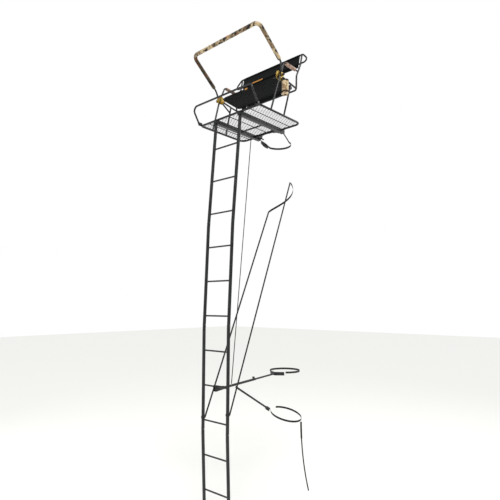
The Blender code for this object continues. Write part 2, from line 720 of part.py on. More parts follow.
def cup_holder():
    """An insulated can holder that hangs outside the right armrest from a web loop."""
    x, y, top, bottom, radius = 0.5575, 0.376, 0.385, 0.212, 0.040
    profile = [(radius * 0.92, bottom), (radius, bottom + 0.012), (radius, top), (radius - 0.005, top)]
    profile += [(radius - 0.005, bottom + 0.014), (0.0, bottom + 0.010)]
    data = bpy.data.meshes.new("cup_holder")
    ring = [(0.0, 0.0, bottom)] + [(r, 0.0, z) for r, z in profile]
    data.from_pydata([(r, 0.0, z) for r, _, z in ring], [(k, k + 1) for k in range(len(ring) - 1)], [])
    holder = link("cup_holder", data, CAMO)
    turn = holder.modifiers.new("turn", "SCREW")
    turn.steps = turn.render_steps = 20
    turn.use_merge_vertices = True
    turn.merge_threshold = 0.0001
    turn.use_normal_calculate = True
    turn.use_normal_flip = True
    holder = meshed(holder)
    holder.data.transform(Matrix.Translation(at(x, y, 0)))
    drop = Vector((0, SEAT_BACK_Y - HUB_Y, SEAT_BACK_Z - HUB_Z)).normalized()
    hang = at(HUB_X, HUB_Y, HUB_Z) + drop * 0.0678
    face = Matrix.Rotation(atan2(drop.z, drop.y) - pi / 2, 4, "X")
    place = Matrix.Translation(hang) @ face
    hole = circle(TUBE_R + 0.0010)
    loop = slab("web_loop", circle(TUBE_R + 0.0040), 0.016, place, None, None, [hole])
    web_x = x - radius + 0.0018
    foot = at(web_x, hang.y - FRONT_Y, top - 0.033)
    web = block("web", Vector((web_x, hang.y, (hang.z + foot.z) / 2)), (0.0034, 0.0176, hang.z - foot.z))
    patch = block("web_patch", foot + Vector((0, -0.009, 0.016)), (0.0034, 0.0360, 0.0318))
    join(holder, loop, web, patch)


# Support bar and webbing


def bar_point(distance):
    """A point on the support bar's axis, a distance from its ladder end."""
    return at(0, BAR_START[0] + distance * cos(BAR_TILT), BAR_START[1] + distance * sin(BAR_TILT))


def support_bar():
    """A telescoping bar from a rung to the trunk: clamp, outer tube, inner tube, locking knob and cradle."""
    outer = rod("bar_outer", bar_point(0.010), bar_point(BAR_OUTER_LENGTH), BAR_OUTER_R, BLACK, 16)
    bore_end = bar_point(BAR_OUTER_LENGTH + LAP)
    cut(outer, rod("bar_bore", bar_point(-LAP), bore_end, BAR_BORE_R, None, 16, CUTTERS))
    up = Vector((0, -sin(BAR_TILT), cos(BAR_TILT)))
    knob_at = bar_point(BAR_OUTER_LENGTH - 0.030)
    cut(outer, rod("knob_hole", knob_at, knob_at + up * 0.03, 0.0046, None, 12, CUTTERS))
    rod("bar_inner", bar_point(BAR_INNER_START), bar_point(BAR_INNER_END), 0.0110, BLACK, 14)

    knob = rod("bar_knob", knob_at + up * 0.0118, knob_at + up * 0.026, 0.004, PLASTIC, 12)
    join(
        knob,
        rod("knob_collar", knob_at + up * (BAR_OUTER_R + GAP), knob_at + up * 0.022, 0.008, None, 12),
        rod("knob_head", knob_at + up * 0.021, knob_at + up * 0.034, 0.016, None, 10),
    )

    rung = RUNG_CENTRES[7]
    tilt = Matrix.Rotation(BAR_TILT, 4, "X")
    rung_distance = (rung.y - bar_point(0).y) / cos(BAR_TILT)
    rise = (rung - bar_point(rung_distance)).dot(up)
    outline = [(-0.016, -0.018), (0.150, -0.010), (0.150, 0.012), (0.040, rise + 0.006)]
    outline += [(0.016 * cos(a), rise + 0.016 * sin(a)) for a in (0.2 * pi * k for k in range(1, 6))]
    cheek_x = BAR_OUTER_R + GAP + 0.002
    centre = bar_point(rung_distance)
    face = Matrix.Rotation(pi / 2, 4, "Z") @ Matrix.Rotation(pi / 2, 4, "X")
    cheeks = []
    for side in (-1, 1):
        place = Matrix.Translation(centre + Vector((side * cheek_x, 0, 0))) @ tilt @ face
        cheeks.append(slab("bar_cheek", outline, 0.004, place))
    bridge = bar_point(rung_distance + 0.085) + up * (BAR_OUTER_R + GAP + 0.002)
    web = block("cheek_web", bridge, (2 * cheek_x, 0.110, 0.004), turn=tilt)
    clamp = join(cheeks[0], cheeks[1], web)
    clamp.name = "bar_clamp"
    reach = Vector((0.04, 0, 0))
    cut(clamp, rod("rung_hole", rung - reach, rung + reach, RUNG_R + 0.0008, None, 16, CUTTERS))
    cut(clamp, rod("tube_seat", bar_point(-0.02), bar_point(0.4), BAR_OUTER_R + GAP, None, 16, CUTTERS))

    tip = bar_point(BAR_INNER_END + GAP + 0.001)
    wing = 0.115
    depth = 0.060
    inner_side = [(-wing, depth), (0.0, 0.006), (wing, depth)]
    outer_side = [(wing, depth - 0.006), (0.012, 0.0), (-0.012, 0.0), (-wing, depth - 0.006)]
    cradle = slab("trunk_cradle", inner_side[::-1] + outer_side[::-1], 0.044, Matrix.Translation(tip) @ tilt)
    cradle.name = "trunk_cradle"


def round_trunk(z, start_angle, end_angle, steps, radius_extra=0.0, drop=0.0):
    """Points round the trunk at a height. Angles run from the climber's side, and grow to the right."""
    centre_y, radius = trunk(z)
    points = []
    for k in range(steps + 1):
        share = k / steps
        angle = start_angle + (end_angle - start_angle) * share
        r = radius + radius_extra
        points.append(at(r * sin(angle), centre_y - r * cos(angle), z - drop * share))
    return points


def ratchet(name, centre, along, normal):
    """A webbing ratchet: a frame of two cheeks and a floor round a slotted spool, and its hinged handle."""
    along = along.normalized()
    side = normal.cross(along).normalized()
    normal = along.cross(side).normalized()
    turn = Matrix((along, side, normal)).transposed().to_4x4()

    def local(x, y, z):
        return centre + along * x + side * y + normal * z

    SPOOLS[name] = local(0.012, 0, 0.016)
    frame = block(f"{name}_frame", local(-0.012, 0, 0.002), (0.074, 0.030, 0.003), BLACK, turn)
    join(
        frame,
        block("cheek", local(-0.004, 0.0155, 0.012), (0.056, 0.003, 0.024), BLACK, turn),
        block("cheek", local(-0.004, -0.0155, 0.012), (0.056, 0.003, 0.024), BLACK, turn),
        rod("spool", local(0.012, -0.024, 0.016), local(0.012, 0.024, 0.016), 0.006, BLACK, 12),
    )
    handle = block(f"{name}_handle", local(0.056, 0, 0.016), (0.048, 0.046, 0.008), BLACK, turn)
    cheek_turn = turn @ Matrix.Rotation(pi / 2, 4, "X")
    outline = capsule(0.012, (0.0, 0.0), (0.046, 0.0), 6)
    hole = circle(0.0065, 16)
    for y in (-0.0210, 0.0210):
        place = Matrix.Translation(local(0.012, y, 0.016)) @ cheek_turn
        join(handle, slab("handle_cheek", outline, 0.003, place, None, None, [hole]))
    clear = (local(0.012, -0.03, 0.016), local(0.012, 0.03, 0.016))
    cut(handle, rod("spool_clear", *clear, 0.0067, None, 16, CUTTERS))
    join(handle, rod("grip", local(0.084, -0.023, 0.016), local(0.084, 0.023, 0.016), 0.007, None, 10))


def webbing():
    """The straps and the cord, as they lie when the stand is on its trunk."""
    # Round the trunk under the platform, from the left beam to the right, with its ratchet on the left run.
    beam = at(RAIL_HALF_SPAN, BEAM_BACK + 0.006, -BEAM_DROP - 0.012)
    left = Vector((-beam.x, beam.y, beam.z))
    loop = round_trunk(-0.110, radians(-96), radians(-264), 14, 0.003)
    ring = [left.lerp(loop[0], 0.72)] + loop + [beam]
    strip("platform_strap", ring, WEB_WIDTH, WEB_THICK)
    along = (loop[0] - left).normalized()
    ratchet("upper_ratchet", left.lerp(loop[0], 0.38), along, Vector((-1, 0, 0)))

    # The stabiliser runs from one rail up round the back of the trunk and down to the other rail.
    ends = {}
    for side, height in ((-1, 0.026), (1, 0.110)):
        rail = RUNG_CENTRES[8] + Vector((side * RAIL_HALF_SPAN, height * sin(LEANS[2]), height))
        ring = []
        for k in range(10):
            angle = radians(-30 - 30 * k)
            r = RAIL_R + 0.0032
            ring.append(rail + Vector((r * sin(angle), r * cos(angle), 0.0)))
        ends[side] = ring
    centre_y, radius = trunk(-0.8)
    back = []
    for k in range(10):
        angle = radians(-78 - 21.5 * k)
        height = -0.990 + 0.350 * k / 9
        r = radius + 0.004
        back.append(at(r * sin(angle), centre_y - r * cos(angle), height))
    strip("stabiliser_strap", ends[-1] + back + ends[1][::-1], WEB_WIDTH, WEB_THICK)

    # A tie cord from the left beam down to the support bar.
    top = at(-RAIL_HALF_SPAN, 0.620, -BEAM_DROP - BEAM_HEIGHT / 2 - 0.0008 - CORD_R)
    foot = bar_point(0.290) + Vector((0, 0, BAR_OUTER_R + CORD_R + 0.001))
    tube("bar_cord", [top.lerp(foot, k / 6) for k in range(7)], CORD_R, WEBBING, 8)

    # From the support bar down to a ratchet, and on round the trunk.
    start = bar_point(0.360) - Vector((0, 0, BAR_OUTER_R + 0.013))
    loop = []
    for k in range(27):
        angle = radians(-52 + 12 * k)
        height = -3.700 - 0.060 * sin(angle)
        centre_y, radius = trunk(height)
        r = radius + 0.003
        loop.append(at(r * sin(angle), centre_y - r * cos(angle), height))
    end = loop[0] + Vector((-0.004, -0.026, 0.016))
    run = (end - start).normalized()
    box = end - run * 0.050
    strip("bar_strap", [start.lerp(box - run * 0.055, k / 5) for k in range(6)], WEB_WIDTH, WEB_THICK)
    ratchet("lower_ratchet", box, run, Vector((-1, 0, 0.2)))
    strip("trunk_strap", loop, WEB_WIDTH, WEB_THICK)

    # The strap's loose tail hangs on the right of the trunk.
    exit_point = loop[13]
    tail = [exit_point + Vector((0.012, 0.0, -WEB_WIDTH / 2 - 0.006))]
    for k in range(1, 19):
        share = k / 18
        tail.append(tail[0] + Vector((0.004 * share, 0.16 * share * share, -0.94 * share)))
    strip("strap_tail", tail, WEB_WIDTH, 0.002)

    # Round the trunk from the cradle's wings.
    wing_z = BAR_START[1] + BAR_INNER_END * sin(BAR_TILT)
    loop = round_trunk(wing_z + 0.02, radians(-41), radians(-319), 18, 0.003)
    strip("cradle_strap", loop, WEB_WIDTH, WEB_THICK)


def rung_centres():
    """Each rung's centre from the top down."""
    centres = []
    top = at(0, LADDER_TOP_Y, LADDER_TOP_Z)
    for k, (length, lean) in enumerate(zip(section_lengths(), LEANS)):
        down = Vector((0, -sin(lean), -cos(lean)))
        first = FIRST_RUNG if k == 0 else RUNG_SPACING - RUNG_TO_JOINT
        centres += [top + down * (first + RUNG_SPACING * rung) for rung in range(RUNGS_PER_SECTION)]
        top = top + down * length
    return centres


def pivot(name, centre, *pieces):
    """An empty on a joint's axis that carries the pieces which move on that joint."""
    empty = bpy.data.objects.new(name, None)
    empty.empty_display_size = 0.05
    empty.location = centre
    STAND.objects.link(empty)
    for piece in pieces:
        obj = STAND.objects[piece]
        obj.parent = empty
        obj.matrix_parent_inverse = Matrix.Translation(-Vector(centre))


def pivots():
    """Each joint's empty. A ratchet lever turns on its spool, so its empty sits in the middle of that."""
    hub = at(0, HUB_Y, HUB_Z)
    across = Vector((HUB_X, 0, 0))
    pivot("shooting_rail_pivot", hub, "shooting_rail", "rail_pad")
    pivot("clamp_knob_left_turn", hub - across, "clamp_knob_left")
    pivot("clamp_knob_right_turn", hub + across, "clamp_knob_right")
    pivot("footrest_pivot", at(0, *FOOTREST_PIVOT), "footrest")
    pivot("seat_flip", at(0, SEAT_PIVOT_Y, SEAT_PIVOT_Z), "seat_frame", "seat_sling")
    pivot("bar_telescope", bar_point(BAR_INNER_START), "bar_inner", "trunk_cradle", "cradle_strap")
    pivot("bar_knob_turn", bar_point(BAR_OUTER_LENGTH - 0.030), "bar_knob")
    for word in ("upper", "lower"):
        pivot(f"{word}_ratchet_lever", SPOOLS[f"{word}_ratchet"], f"{word}_ratchet_handle")


def shade():
    """Round faces shade smooth, and edges over 40 degrees stay sharp."""
    for piece in STAND.objects:
        if piece.type == "MESH":
            piece.data.shade_smooth()
            piece.data.set_sharp_from_angle(angle=radians(40))


RUNG_CENTRES = rung_centres()
SPOOLS = {}
ladder()
platform_frame()
floor_grid()
tree_bracket()
side_frames()
hubs()
seat()
back_rest()
arms()
shooting_rail()
footrest()
cup_holder()
support_bar()
webbing()
pivots()
shade()
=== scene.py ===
"""A two-person ladder stand: ladder, welded platform, sling seat and back, padded rail and webbing."""

import json
from math import cos, pi, radians, sin

import bmesh
import bpy
from mathutils import Matrix, Vector


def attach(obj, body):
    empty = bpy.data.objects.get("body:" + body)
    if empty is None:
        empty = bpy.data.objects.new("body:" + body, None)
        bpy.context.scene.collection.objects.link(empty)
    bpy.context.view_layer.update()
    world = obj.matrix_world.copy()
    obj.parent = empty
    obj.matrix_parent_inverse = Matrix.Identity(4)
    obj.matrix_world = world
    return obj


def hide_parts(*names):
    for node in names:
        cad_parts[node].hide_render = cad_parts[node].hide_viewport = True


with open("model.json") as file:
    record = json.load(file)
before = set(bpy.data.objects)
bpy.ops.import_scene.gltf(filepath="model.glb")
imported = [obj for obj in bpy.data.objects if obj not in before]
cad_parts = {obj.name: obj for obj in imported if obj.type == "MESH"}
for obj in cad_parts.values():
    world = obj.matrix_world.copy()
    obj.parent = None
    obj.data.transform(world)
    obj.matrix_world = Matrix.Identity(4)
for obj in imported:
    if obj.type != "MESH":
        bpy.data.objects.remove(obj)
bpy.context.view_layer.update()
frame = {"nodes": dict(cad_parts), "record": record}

nodes = frame["nodes"]


# Camera, light and floor.
# A low view from the climber's right, as far off as lets the whole stand be seen at once.
camera = bpy.data.objects.new("camera", bpy.data.cameras.new("camera"))
camera.data.lens = 33.888
camera.data.shift_y = 0.080
camera.location = (3.8944, -4.4542, 2.8845)
camera.rotation_euler = (radians(90 + 1.723), 0, radians(42.157))
bpy.context.scene.collection.objects.link(camera)
bpy.context.scene.camera = camera


def linear(colour):
    """A hex sRGB colour as linear RGBA."""
    parts = [int(colour[k : k + 2], 16) / 255 for k in (1, 3, 5)]
    return (*[c / 12.92 if c <= 0.04045 else ((c + 0.055) / 1.055) ** 2.4 for c in parts], 1.0)


def add(tree, kind, settings=None, **links):
    """A node of a kind. Settings are its own properties, and links fill its sockets by name or by number."""
    node = tree.nodes.new(kind)
    for name, value in (settings or {}).items():
        setattr(node, name, value)
    for name, value in links.items():
        socket = node.inputs[int(name[1:])] if name[1:].isdigit() else node.inputs[name.replace("_", " ")]
        if isinstance(value, bpy.types.NodeSocket):
            tree.links.new(value, socket)
        else:
            socket.default_value = value
    return node


def finish_of(name, colour, roughness, metallic=0.0):
    """A new Principled material: its tree and its shader."""
    made = bpy.data.materials.new(name)
    made.use_nodes = True
    shader = made.node_tree.nodes["Principled BSDF"]
    shader.inputs["Base Color"].default_value = linear(colour)
    shader.inputs["Roughness"].default_value = roughness
    shader.inputs["Metallic"].default_value = metallic
    return made, made.node_tree, shader


def area_light(name, place, target, size, power):
    """A square lamp that faces the target."""
    lamp = bpy.data.objects.new(name, bpy.data.lights.new(name, "AREA"))
    lamp.data.size = size
    lamp.data.energy = power
    lamp.location = place
    lamp.rotation_euler = (Vector(target) - Vector(place)).to_track_quat("-Z", "Y").to_euler()
    bpy.context.scene.collection.objects.link(lamp)


area_light("fill", (-6.0, -4.0, 4.5), (0, 0, 3.5), 5.0, 120)
area_light("rim", (2.0, 6.0, 8.5), (0, 0, 4.5), 4.0, 200)
# The key is a broad soft sun, so that the floor stays evenly pale however far it runs.
key = bpy.data.objects.new("key", bpy.data.lights.new("key", "SUN"))
key.data.energy = 2.9
key.data.angle = radians(25)
key.rotation_euler = Vector((-3.2, 2.6, -6.0)).to_track_quat("-Z", "Y").to_euler()
bpy.context.scene.collection.objects.link(key)
# The backdrop looks white, and gives only a third of the light that white would.
world = bpy.data.worlds.new("studio")
world.use_nodes = True
sky = world.node_tree.nodes["Background"]
sky.inputs["Color"].default_value = linear("#ffffff")
seen = add(world.node_tree, "ShaderNodeLightPath")
strength = add(
    world.node_tree, "ShaderNodeMapRange", Value=seen.outputs["Is Camera Ray"], To_Min=0.30, To_Max=1.0
)
world.node_tree.links.new(strength.outputs["Result"], sky.inputs["Strength"])
bpy.context.scene.world = world
bpy.context.scene.view_settings.view_transform = "Standard"

plaster, tree, shader = finish_of("pale_floor", "#efefec", 0.9)
floor = bpy.data.objects.new("floor", bpy.data.meshes.new("floor"))
floor.data.from_pydata([(-40, -40, 0), (40, -40, 0), (40, 40, 0), (-40, 40, 0)], [], [(0, 1, 2, 3)])
floor.data.materials.append(plaster)
bpy.context.scene.collection.objects.link(floor)


# Straps and the tie cord.
# Black polypropylene webbing 25 mm wide, woven with a ribbed face and a firm selvedge, pulled taut round the
# trunk. The stand's places are given from the middle of the platform's front edge.
FRONT_Y = -0.5309
PLATFORM_Z = 5.118968
WEB_WIDTH = 0.025
WEB_THICK = 0.003
BEAM_BACK = 0.790
BEAM_DROP = 0.029
BAR_START = (-0.236, -3.209)
BAR_TILT = radians(3.7)
BAR_RADIUS = 0.0145


def at(x, y, z):
    """A place given from the middle of the platform's front edge."""
    return Vector((x, FRONT_Y + y, PLATFORM_Z + z))


def trunk(z):
    """The trunk's centre and radius at a height from the platform."""
    return 0.944 - 0.040 * z, 0.160 - 0.011 * z


def bar_point(distance):
    """A place on the support bar's axis, this far along it."""
    y = BAR_START[0] + distance * cos(BAR_TILT)
    return at(0, y, BAR_START[1] + distance * sin(BAR_TILT))


def eased(points, parts=4):
    """The points of a smooth line through the given ones, with each long stretch between them pulled straight."""
    straight = 0.08
    line = []
    for k in range(len(points) - 1):
        b, c = points[k], points[k + 1]
        if (c - b).length > straight:
            line += [b.lerp(c, step / parts) for step in range(parts)]
            continue
        curved_before = k > 0 and (b - points[k - 1]).length <= straight
        curved_after = k + 2 < len(points) and (points[k + 2] - c).length <= straight
        a = points[k - 1] if curved_before else b * 2 - c
        d = points[k + 2] if curved_after else c * 2 - b
        for step in range(parts):
            t = step / parts
            square, cube = t**2, t**3
            bend = (2 * a - 5 * b + 4 * c - d) * square + (3 * b - a - 3 * c + d) * cube
            line.append(0.5 * (2 * b + (c - a) * t + bend))
    return [*line, points[-1].copy()]


def frames(points):
    """Each point's distance along the line and its direction."""
    found, along = [], 0.0
    for k, point in enumerate(points):
        if k:
            along += (point - points[k - 1]).length
        before, after = points[max(k - 1, 0)], points[min(k + 1, len(points) - 1)]
        found.append((along, (after - before).normalized()))
    return found


def swept(name, points, section, body, material):
    """A closed skin whose section, given as (side, up) pairs or a function of the distance, follows the points.
    Its UV map holds the distance along and the distance round, in metres."""
    work = bmesh.new()
    layer = work.loops.layers.uv.new("along")
    rings = []
    up_axis = Vector((0, 0, 1))
    last = None
    for point, (along, heading) in zip(points, frames(points)):
        up = up_axis - heading * up_axis.dot(heading)
        if up.length < 0.08 and last is not None:
            up = last - heading * last.dot(heading)
        up.normalize()
        last = up
        side = heading.cross(up)
        shape = section(along) if callable(section) else section
        rings.append((along, [work.verts.new(point + side * x + up * y) for x, y in shape]))
    count = len(rings[0][1])
    shape = section(0.0) if callable(section) else section
    edges = [(Vector(shape[(k + 1) % count]) - Vector(shape[k])).length for k in range(count)]
    round_at = [sum(edges[:k]) for k in range(count + 1)]
    for (u0, low), (u1, high) in zip(rings, rings[1:]):
        for k in range(count):
            face = work.faces.new((low[k], low[(k + 1) % count], high[(k + 1) % count], high[k]))
            places = ((u0, k), (u0, k + 1), (u1, k + 1), (u1, k))
            for loop, (u, v) in zip(face.loops, places):
                loop[layer].uv = (u, round_at[v])
    work.faces.new(rings[0][1][::-1])
    work.faces.new(rings[-1][1])
    bmesh.ops.recalc_face_normals(work, faces=work.faces)
    return shown(name, work, body, material)


def shown(name, work, body, material, smooth=40):
    """The bmesh as a piece that rides on a body."""
    data = bpy.data.meshes.new(name)
    work.to_mesh(data)
    work.free()
    data.materials.append(material)
    data.shade_smooth()
    data.set_sharp_from_angle(angle=radians(smooth))
    piece = bpy.data.objects.new(name, data)
    bpy.context.scene.collection.objects.link(piece)
    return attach(piece, body)


def band(width, thick):
    """The section of a strap: flat faces with rounded selvedges and a slightly proud middle."""
    points = []
    for k in range(9):
        share = -1 + k / 4
        points.append((thick / 2 * (1 - 0.5 * abs(share) ** 6), share * width / 2))
    return points + [(-x, y) for x, y in reversed(points)]


def woven(name, colour, light, rib, roughness=0.82):
    """Polypropylene webbing: ribs across the strap, drawn at twice their 1.6 mm pitch so that they show."""
    made, tree, shader = finish_of(name, colour, roughness)
    where = add(tree, "ShaderNodeUVMap", {"uv_map": "along"})
    ribs = add(
        tree,
        "ShaderNodeTexWave",
        {"bands_direction": "X", "wave_profile": "SIN"},
        Vector=where.outputs["UV"],
        Scale=1 / (rib * 20),
        Distortion=0.6,
        Detail=1.0,
    )
    cross = add(
        tree,
        "ShaderNodeTexWave",
        {"bands_direction": "Y", "wave_profile": "SIN"},
        Vector=where.outputs["UV"],
        Scale=1 / (rib * 14),
    )
    weave = add(
        tree, "ShaderNodeMath", {"operation": "MULTIPLY"}, _0=ribs.outputs["Fac"], _1=cross.outputs["Fac"]
    )
    shades = add(tree, "ShaderNodeValToRGB", Fac=weave.outputs[0])
    shades.color_ramp.elements[0].color = linear(colour)
    shades.color_ramp.elements[1].color = linear(light)
    tree.links.new(shades.outputs["Color"], shader.inputs["Base Color"])
    bump = add(tree, "ShaderNodeBump", Strength=0.5, Distance=0.0006, Height=weave.outputs[0])
    tree.links.new(bump.outputs["Normal"], shader.inputs["Normal"])
    shader.inputs["Sheen Weight"].default_value = 0.15
    shader.inputs["Sheen Roughness"].default_value = 0.4
    return made


webbing = woven("black_polypropylene_webbing", "#101211", "#262927", 0.0032)


def strap(name, points, body="stand", thick=WEB_THICK, smooth=4):
    """A length of webbing through the points, in place of the plain strap of that name."""
    piece = swept(f"{name}_web", eased(points, smooth), band(WEB_WIDTH, thick), body, webbing)
    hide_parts(name)
    return piece


def round_trunk(z, start, end, steps, extra):
    """Points round the trunk at one height, standing off it a little."""
    centre, radius = trunk(z)
    turns = [start + (end - start) * k / steps for k in range(steps + 1)]
    return [at((radius + extra) * sin(a), centre - (radius + extra) * cos(a), z) for a in turns]


beam_end = at(0.200, BEAM_BACK + 0.006, -BEAM_DROP - 0.012)
beam_left = Vector((-beam_end.x, beam_end.y, beam_end.z))
loop = round_trunk(-0.110, radians(-96), radians(-264), 14, 0.003)
strap("platform_strap", [beam_left.lerp(loop[0], 0.72), *loop, beam_end], smooth=3)

RUNG_SPACING = 0.400
RAIL_HALF_SPAN = 0.200
RAIL_R = 0.019


def rung_centres():
    """Each rung's centre from the top down, with the small lean that each slip joint adds."""
    found = []
    top = at(0, -0.012, -(BEAM_DROP + 0.023 + 0.0003))
    for section in range(4):
        lean = radians(5.5 - 2.4 * section)
        down = Vector((0, -sin(lean), -cos(lean)))
        first = 0.324 if section == 0 else RUNG_SPACING - 0.151
        found += [top + down * (first + RUNG_SPACING * k) for k in range(3)]
        top = top + down * (first + 2 * RUNG_SPACING + 0.151)
    return found


rungs = rung_centres()
wraps = {}
for side, height in ((-1, 0.026), (1, 0.110)):
    rail = rungs[8] + Vector((side * RAIL_HALF_SPAN, height * sin(radians(5.5 - 4.8)), height))
    turns = [radians(-30 - 30 * k) for k in range(10)]
    wraps[side] = [rail + Vector(((RAIL_R + 0.0032) * sin(a), (RAIL_R + 0.0032) * cos(a), 0)) for a in turns]
centre, radius = trunk(-0.8)
back = []
for k in range(10):
    angle = radians(-78 - 21.5 * k)
    reach = radius + 0.004
    back.append(at(reach * sin(angle), centre - reach * cos(angle), -0.990 + 0.350 * k / 9))
strap("stabiliser_strap", wraps[-1] + back + wraps[1][::-1], smooth=3)

start = bar_point(0.360) - Vector((0, 0, BAR_RADIUS + 0.013))
loop = []
for k in range(27):
    angle = radians(-52 + 12 * k)
    height = -3.700 - 0.060 * sin(angle)
    centre, radius = trunk(height)
    loop.append(at((radius + 0.003) * sin(angle), centre - (radius + 0.003) * cos(angle), height))
end = loop[0] + Vector((-0.004, -0.026, 0.016))
run = (end - start).normalized()
strap_foot = end - run * 0.105
strap("bar_strap", [start.lerp(strap_foot, k / 5) for k in range(6)])
strap("trunk_strap", loop, smooth=3)

wing_z = BAR_START[1] + 1.090 * sin(BAR_TILT) + 0.02
strap("cradle_strap", round_trunk(wing_z, radians(-41), radians(-319), 18, 0.003), "bar_slide", smooth=3)

# The lower strap's tail: the spare end of the same webbing, which hangs limp down the trunk's right side.
TAIL_DROP = 0.94
tail = [loop[13] + Vector((0.012, 0.0, -WEB_WIDTH / 2 - 0.006))]
for k in range(1, 19):
    share = k / 18
    tail.append(tail[0] + Vector((0.004 * share, 0.16 * share * share, -TAIL_DROP * share)))
line = eased(tail, 3)
piece = swept("strap_tail_web", line, band(WEB_WIDTH, 0.002), "stand", webbing)
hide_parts("strap_tail")
tail_length = frames(line)[-1][0]

# The tie cord: a 10 mm braided line pulled tight between the left beam and the support bar.
CORD_R = 0.005
top = at(-0.200, 0.620, -BEAM_DROP - 0.023 - 0.0008 - CORD_R)
foot = bar_point(0.290) + Vector((0, 0, BAR_RADIUS + CORD_R + 0.001))
line = [top.lerp(foot, k / 160) for k in range(161)]


def braid(along):
    """Sixteen strands that turn slowly round the line."""
    points = []
    for k in range(32):
        turn = 2 * pi * k / 32
        r = CORD_R * (1 + 0.05 * cos(8 * turn + along * 260))
        points.append((r * cos(turn), r * sin(turn)))
    return points


piece = swept("bar_cord_braid", line, braid, "stand", webbing)
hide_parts("bar_cord")


# Welded steel.
# Round steel tube, bent and MIG welded, then dipped in black polyester powder. The coat gives a satin skin
# with a faint orange peel, a little dust on it, and duller patches where hands and straps rub.
powder_coat, tree, shader = finish_of("satin_black_powder_coat", "#121514", 0.42)
where = add(tree, "ShaderNodeTexCoord").outputs["Object"]
dust = add(tree, "ShaderNodeTexNoise", Vector=where, Scale=9.0, Detail=5.0, Roughness=0.6)
shades = add(tree, "ShaderNodeValToRGB", Fac=dust.outputs["Fac"])
shades.color_ramp.elements[0].position, shades.color_ramp.elements[1].position = 0.35, 0.72
shades.color_ramp.elements[0].color = linear("#0e1110")
shades.color_ramp.elements[1].color = linear("#202423")
tree.links.new(shades.outputs["Color"], shader.inputs["Base Color"])
rubbed = add(tree, "ShaderNodeMapRange", Value=dust.outputs["Fac"], To_Min=0.34, To_Max=0.52)
tree.links.new(rubbed.outputs["Result"], shader.inputs["Roughness"])
# Orange peel is about 1 mm across, and is drawn at 3 mm so that it shows.
peel = add(tree, "ShaderNodeTexNoise", Vector=where, Scale=330.0, Detail=1.0)
bump = add(tree, "ShaderNodeBump", Strength=0.12, Distance=0.0004, Height=peel.outputs["Fac"])
tree.links.new(bump.outputs["Normal"], shader.inputs["Normal"])

# Yellow passivated zinc: bright plate under a gold chromate film, which clouds where it pooled.
yellow_zinc, tree, shader = finish_of("yellow_passivated_zinc", "#d3ad4a", 0.30, 1.0)
where = add(tree, "ShaderNodeTexCoord").outputs["Object"]
cloud = add(tree, "ShaderNodeTexNoise", Vector=where, Scale=16.0, Detail=2.0)
shades = add(tree, "ShaderNodeValToRGB", Fac=cloud.outputs["Fac"])
shades.color_ramp.elements[0].color = linear("#c79c3e")
shades.color_ramp.elements[1].color = linear("#e6c970")
tree.links.new(shades.outputs["Color"], shader.inputs["Base Color"])
film = add(tree, "ShaderNodeMapRange", Value=cloud.outputs["Fac"], To_Min=0.22, To_Max=0.42)
tree.links.new(film.outputs["Result"], shader.inputs["Roughness"])

# Bright zinc plate on drawn steel: fine draw lines along the part and a grey bloom.
bright_zinc, tree, shader = finish_of("bright_zinc_plate", "#b5b8b9", 0.34, 1.0)
where = add(tree, "ShaderNodeTexCoord").outputs["Object"]
bloom = add(tree, "ShaderNodeTexNoise", Vector=where, Scale=70.0, Detail=4.0)
shades = add(tree, "ShaderNodeValToRGB", Fac=bloom.outputs["Fac"])
shades.color_ramp.elements[0].color = linear("#8e9294")
shades.color_ramp.elements[1].color = linear("#cdd0d1")
tree.links.new(shades.outputs["Color"], shader.inputs["Base Color"])
drawn = add(tree, "ShaderNodeTexNoise", Vector=where, Scale=600.0, Detail=0.0)
bump = add(tree, "ShaderNodeBump", Strength=0.08, Distance=0.0002, Height=drawn.outputs["Fac"])
tree.links.new(bump.outputs["Normal"], shader.inputs["Normal"])

# Moulded black nylon, with the fine spark-eroded grain of its mould.
nylon, tree, shader = finish_of("moulded_black_nylon", "#171818", 0.55)
where = add(tree, "ShaderNodeTexCoord").outputs["Object"]
grain = add(tree, "ShaderNodeTexNoise", Vector=where, Scale=700.0, Detail=2.0)
tone = add(tree, "ShaderNodeMapRange", Value=grain.outputs["Fac"], To_Min=0.48, To_Max=0.64)
tree.links.new(tone.outputs["Result"], shader.inputs["Roughness"])
bump = add(tree, "ShaderNodeBump", Strength=0.25, Distance=0.0002, Height=grain.outputs["Fac"])
tree.links.new(bump.outputs["Normal"], shader.inputs["Normal"])

hard_finishes = {
    "black_powder_coat": powder_coat,
    "yellow_zinc": yellow_zinc,
    "zinc_steel": bright_zinc,
    "black_plastic": nylon,
}
for part in frame["record"]["subparts"]:
    if part["material_slot"] not in hard_finishes:
        continue
    node = nodes[part["node"]]
    node.data.materials.clear()
    node.data.materials.append(hard_finishes[part["material_slot"]])
    if "custom_normal" in node.data.attributes:
        node.data.attributes.remove(node.data.attributes["custom_normal"])
    node.data.shade_smooth()
    weld = node.modifiers.new("weld", "WELD")
    weld.merge_threshold = 0.00002
    split = node.modifiers.new("split", "EDGE_SPLIT")
    split.split_angle = radians(42)


# Expanded-metal floor.
# Slit and stretched sheet steel, its diamonds long across the stand, welded to the edge tube and three rods
# and coated with them. The wires fill the outline of the plain floor, whose front corners are rounded.
DIAMOND_LONG = 0.062
DIAMOND_SHORT = 0.042
WIRE_WIDTH = 0.0034
WIRE_THICK = 0.0018
MESH_HALF = 0.4715
MESH_DEPTH = 0.742
MESH_CORNER = 0.028
ROD_R = 0.0045
mesh_low, mesh_high = at(-MESH_HALF, 0.0140, -0.0040), at(MESH_HALF, 0.7560, -0.0014)


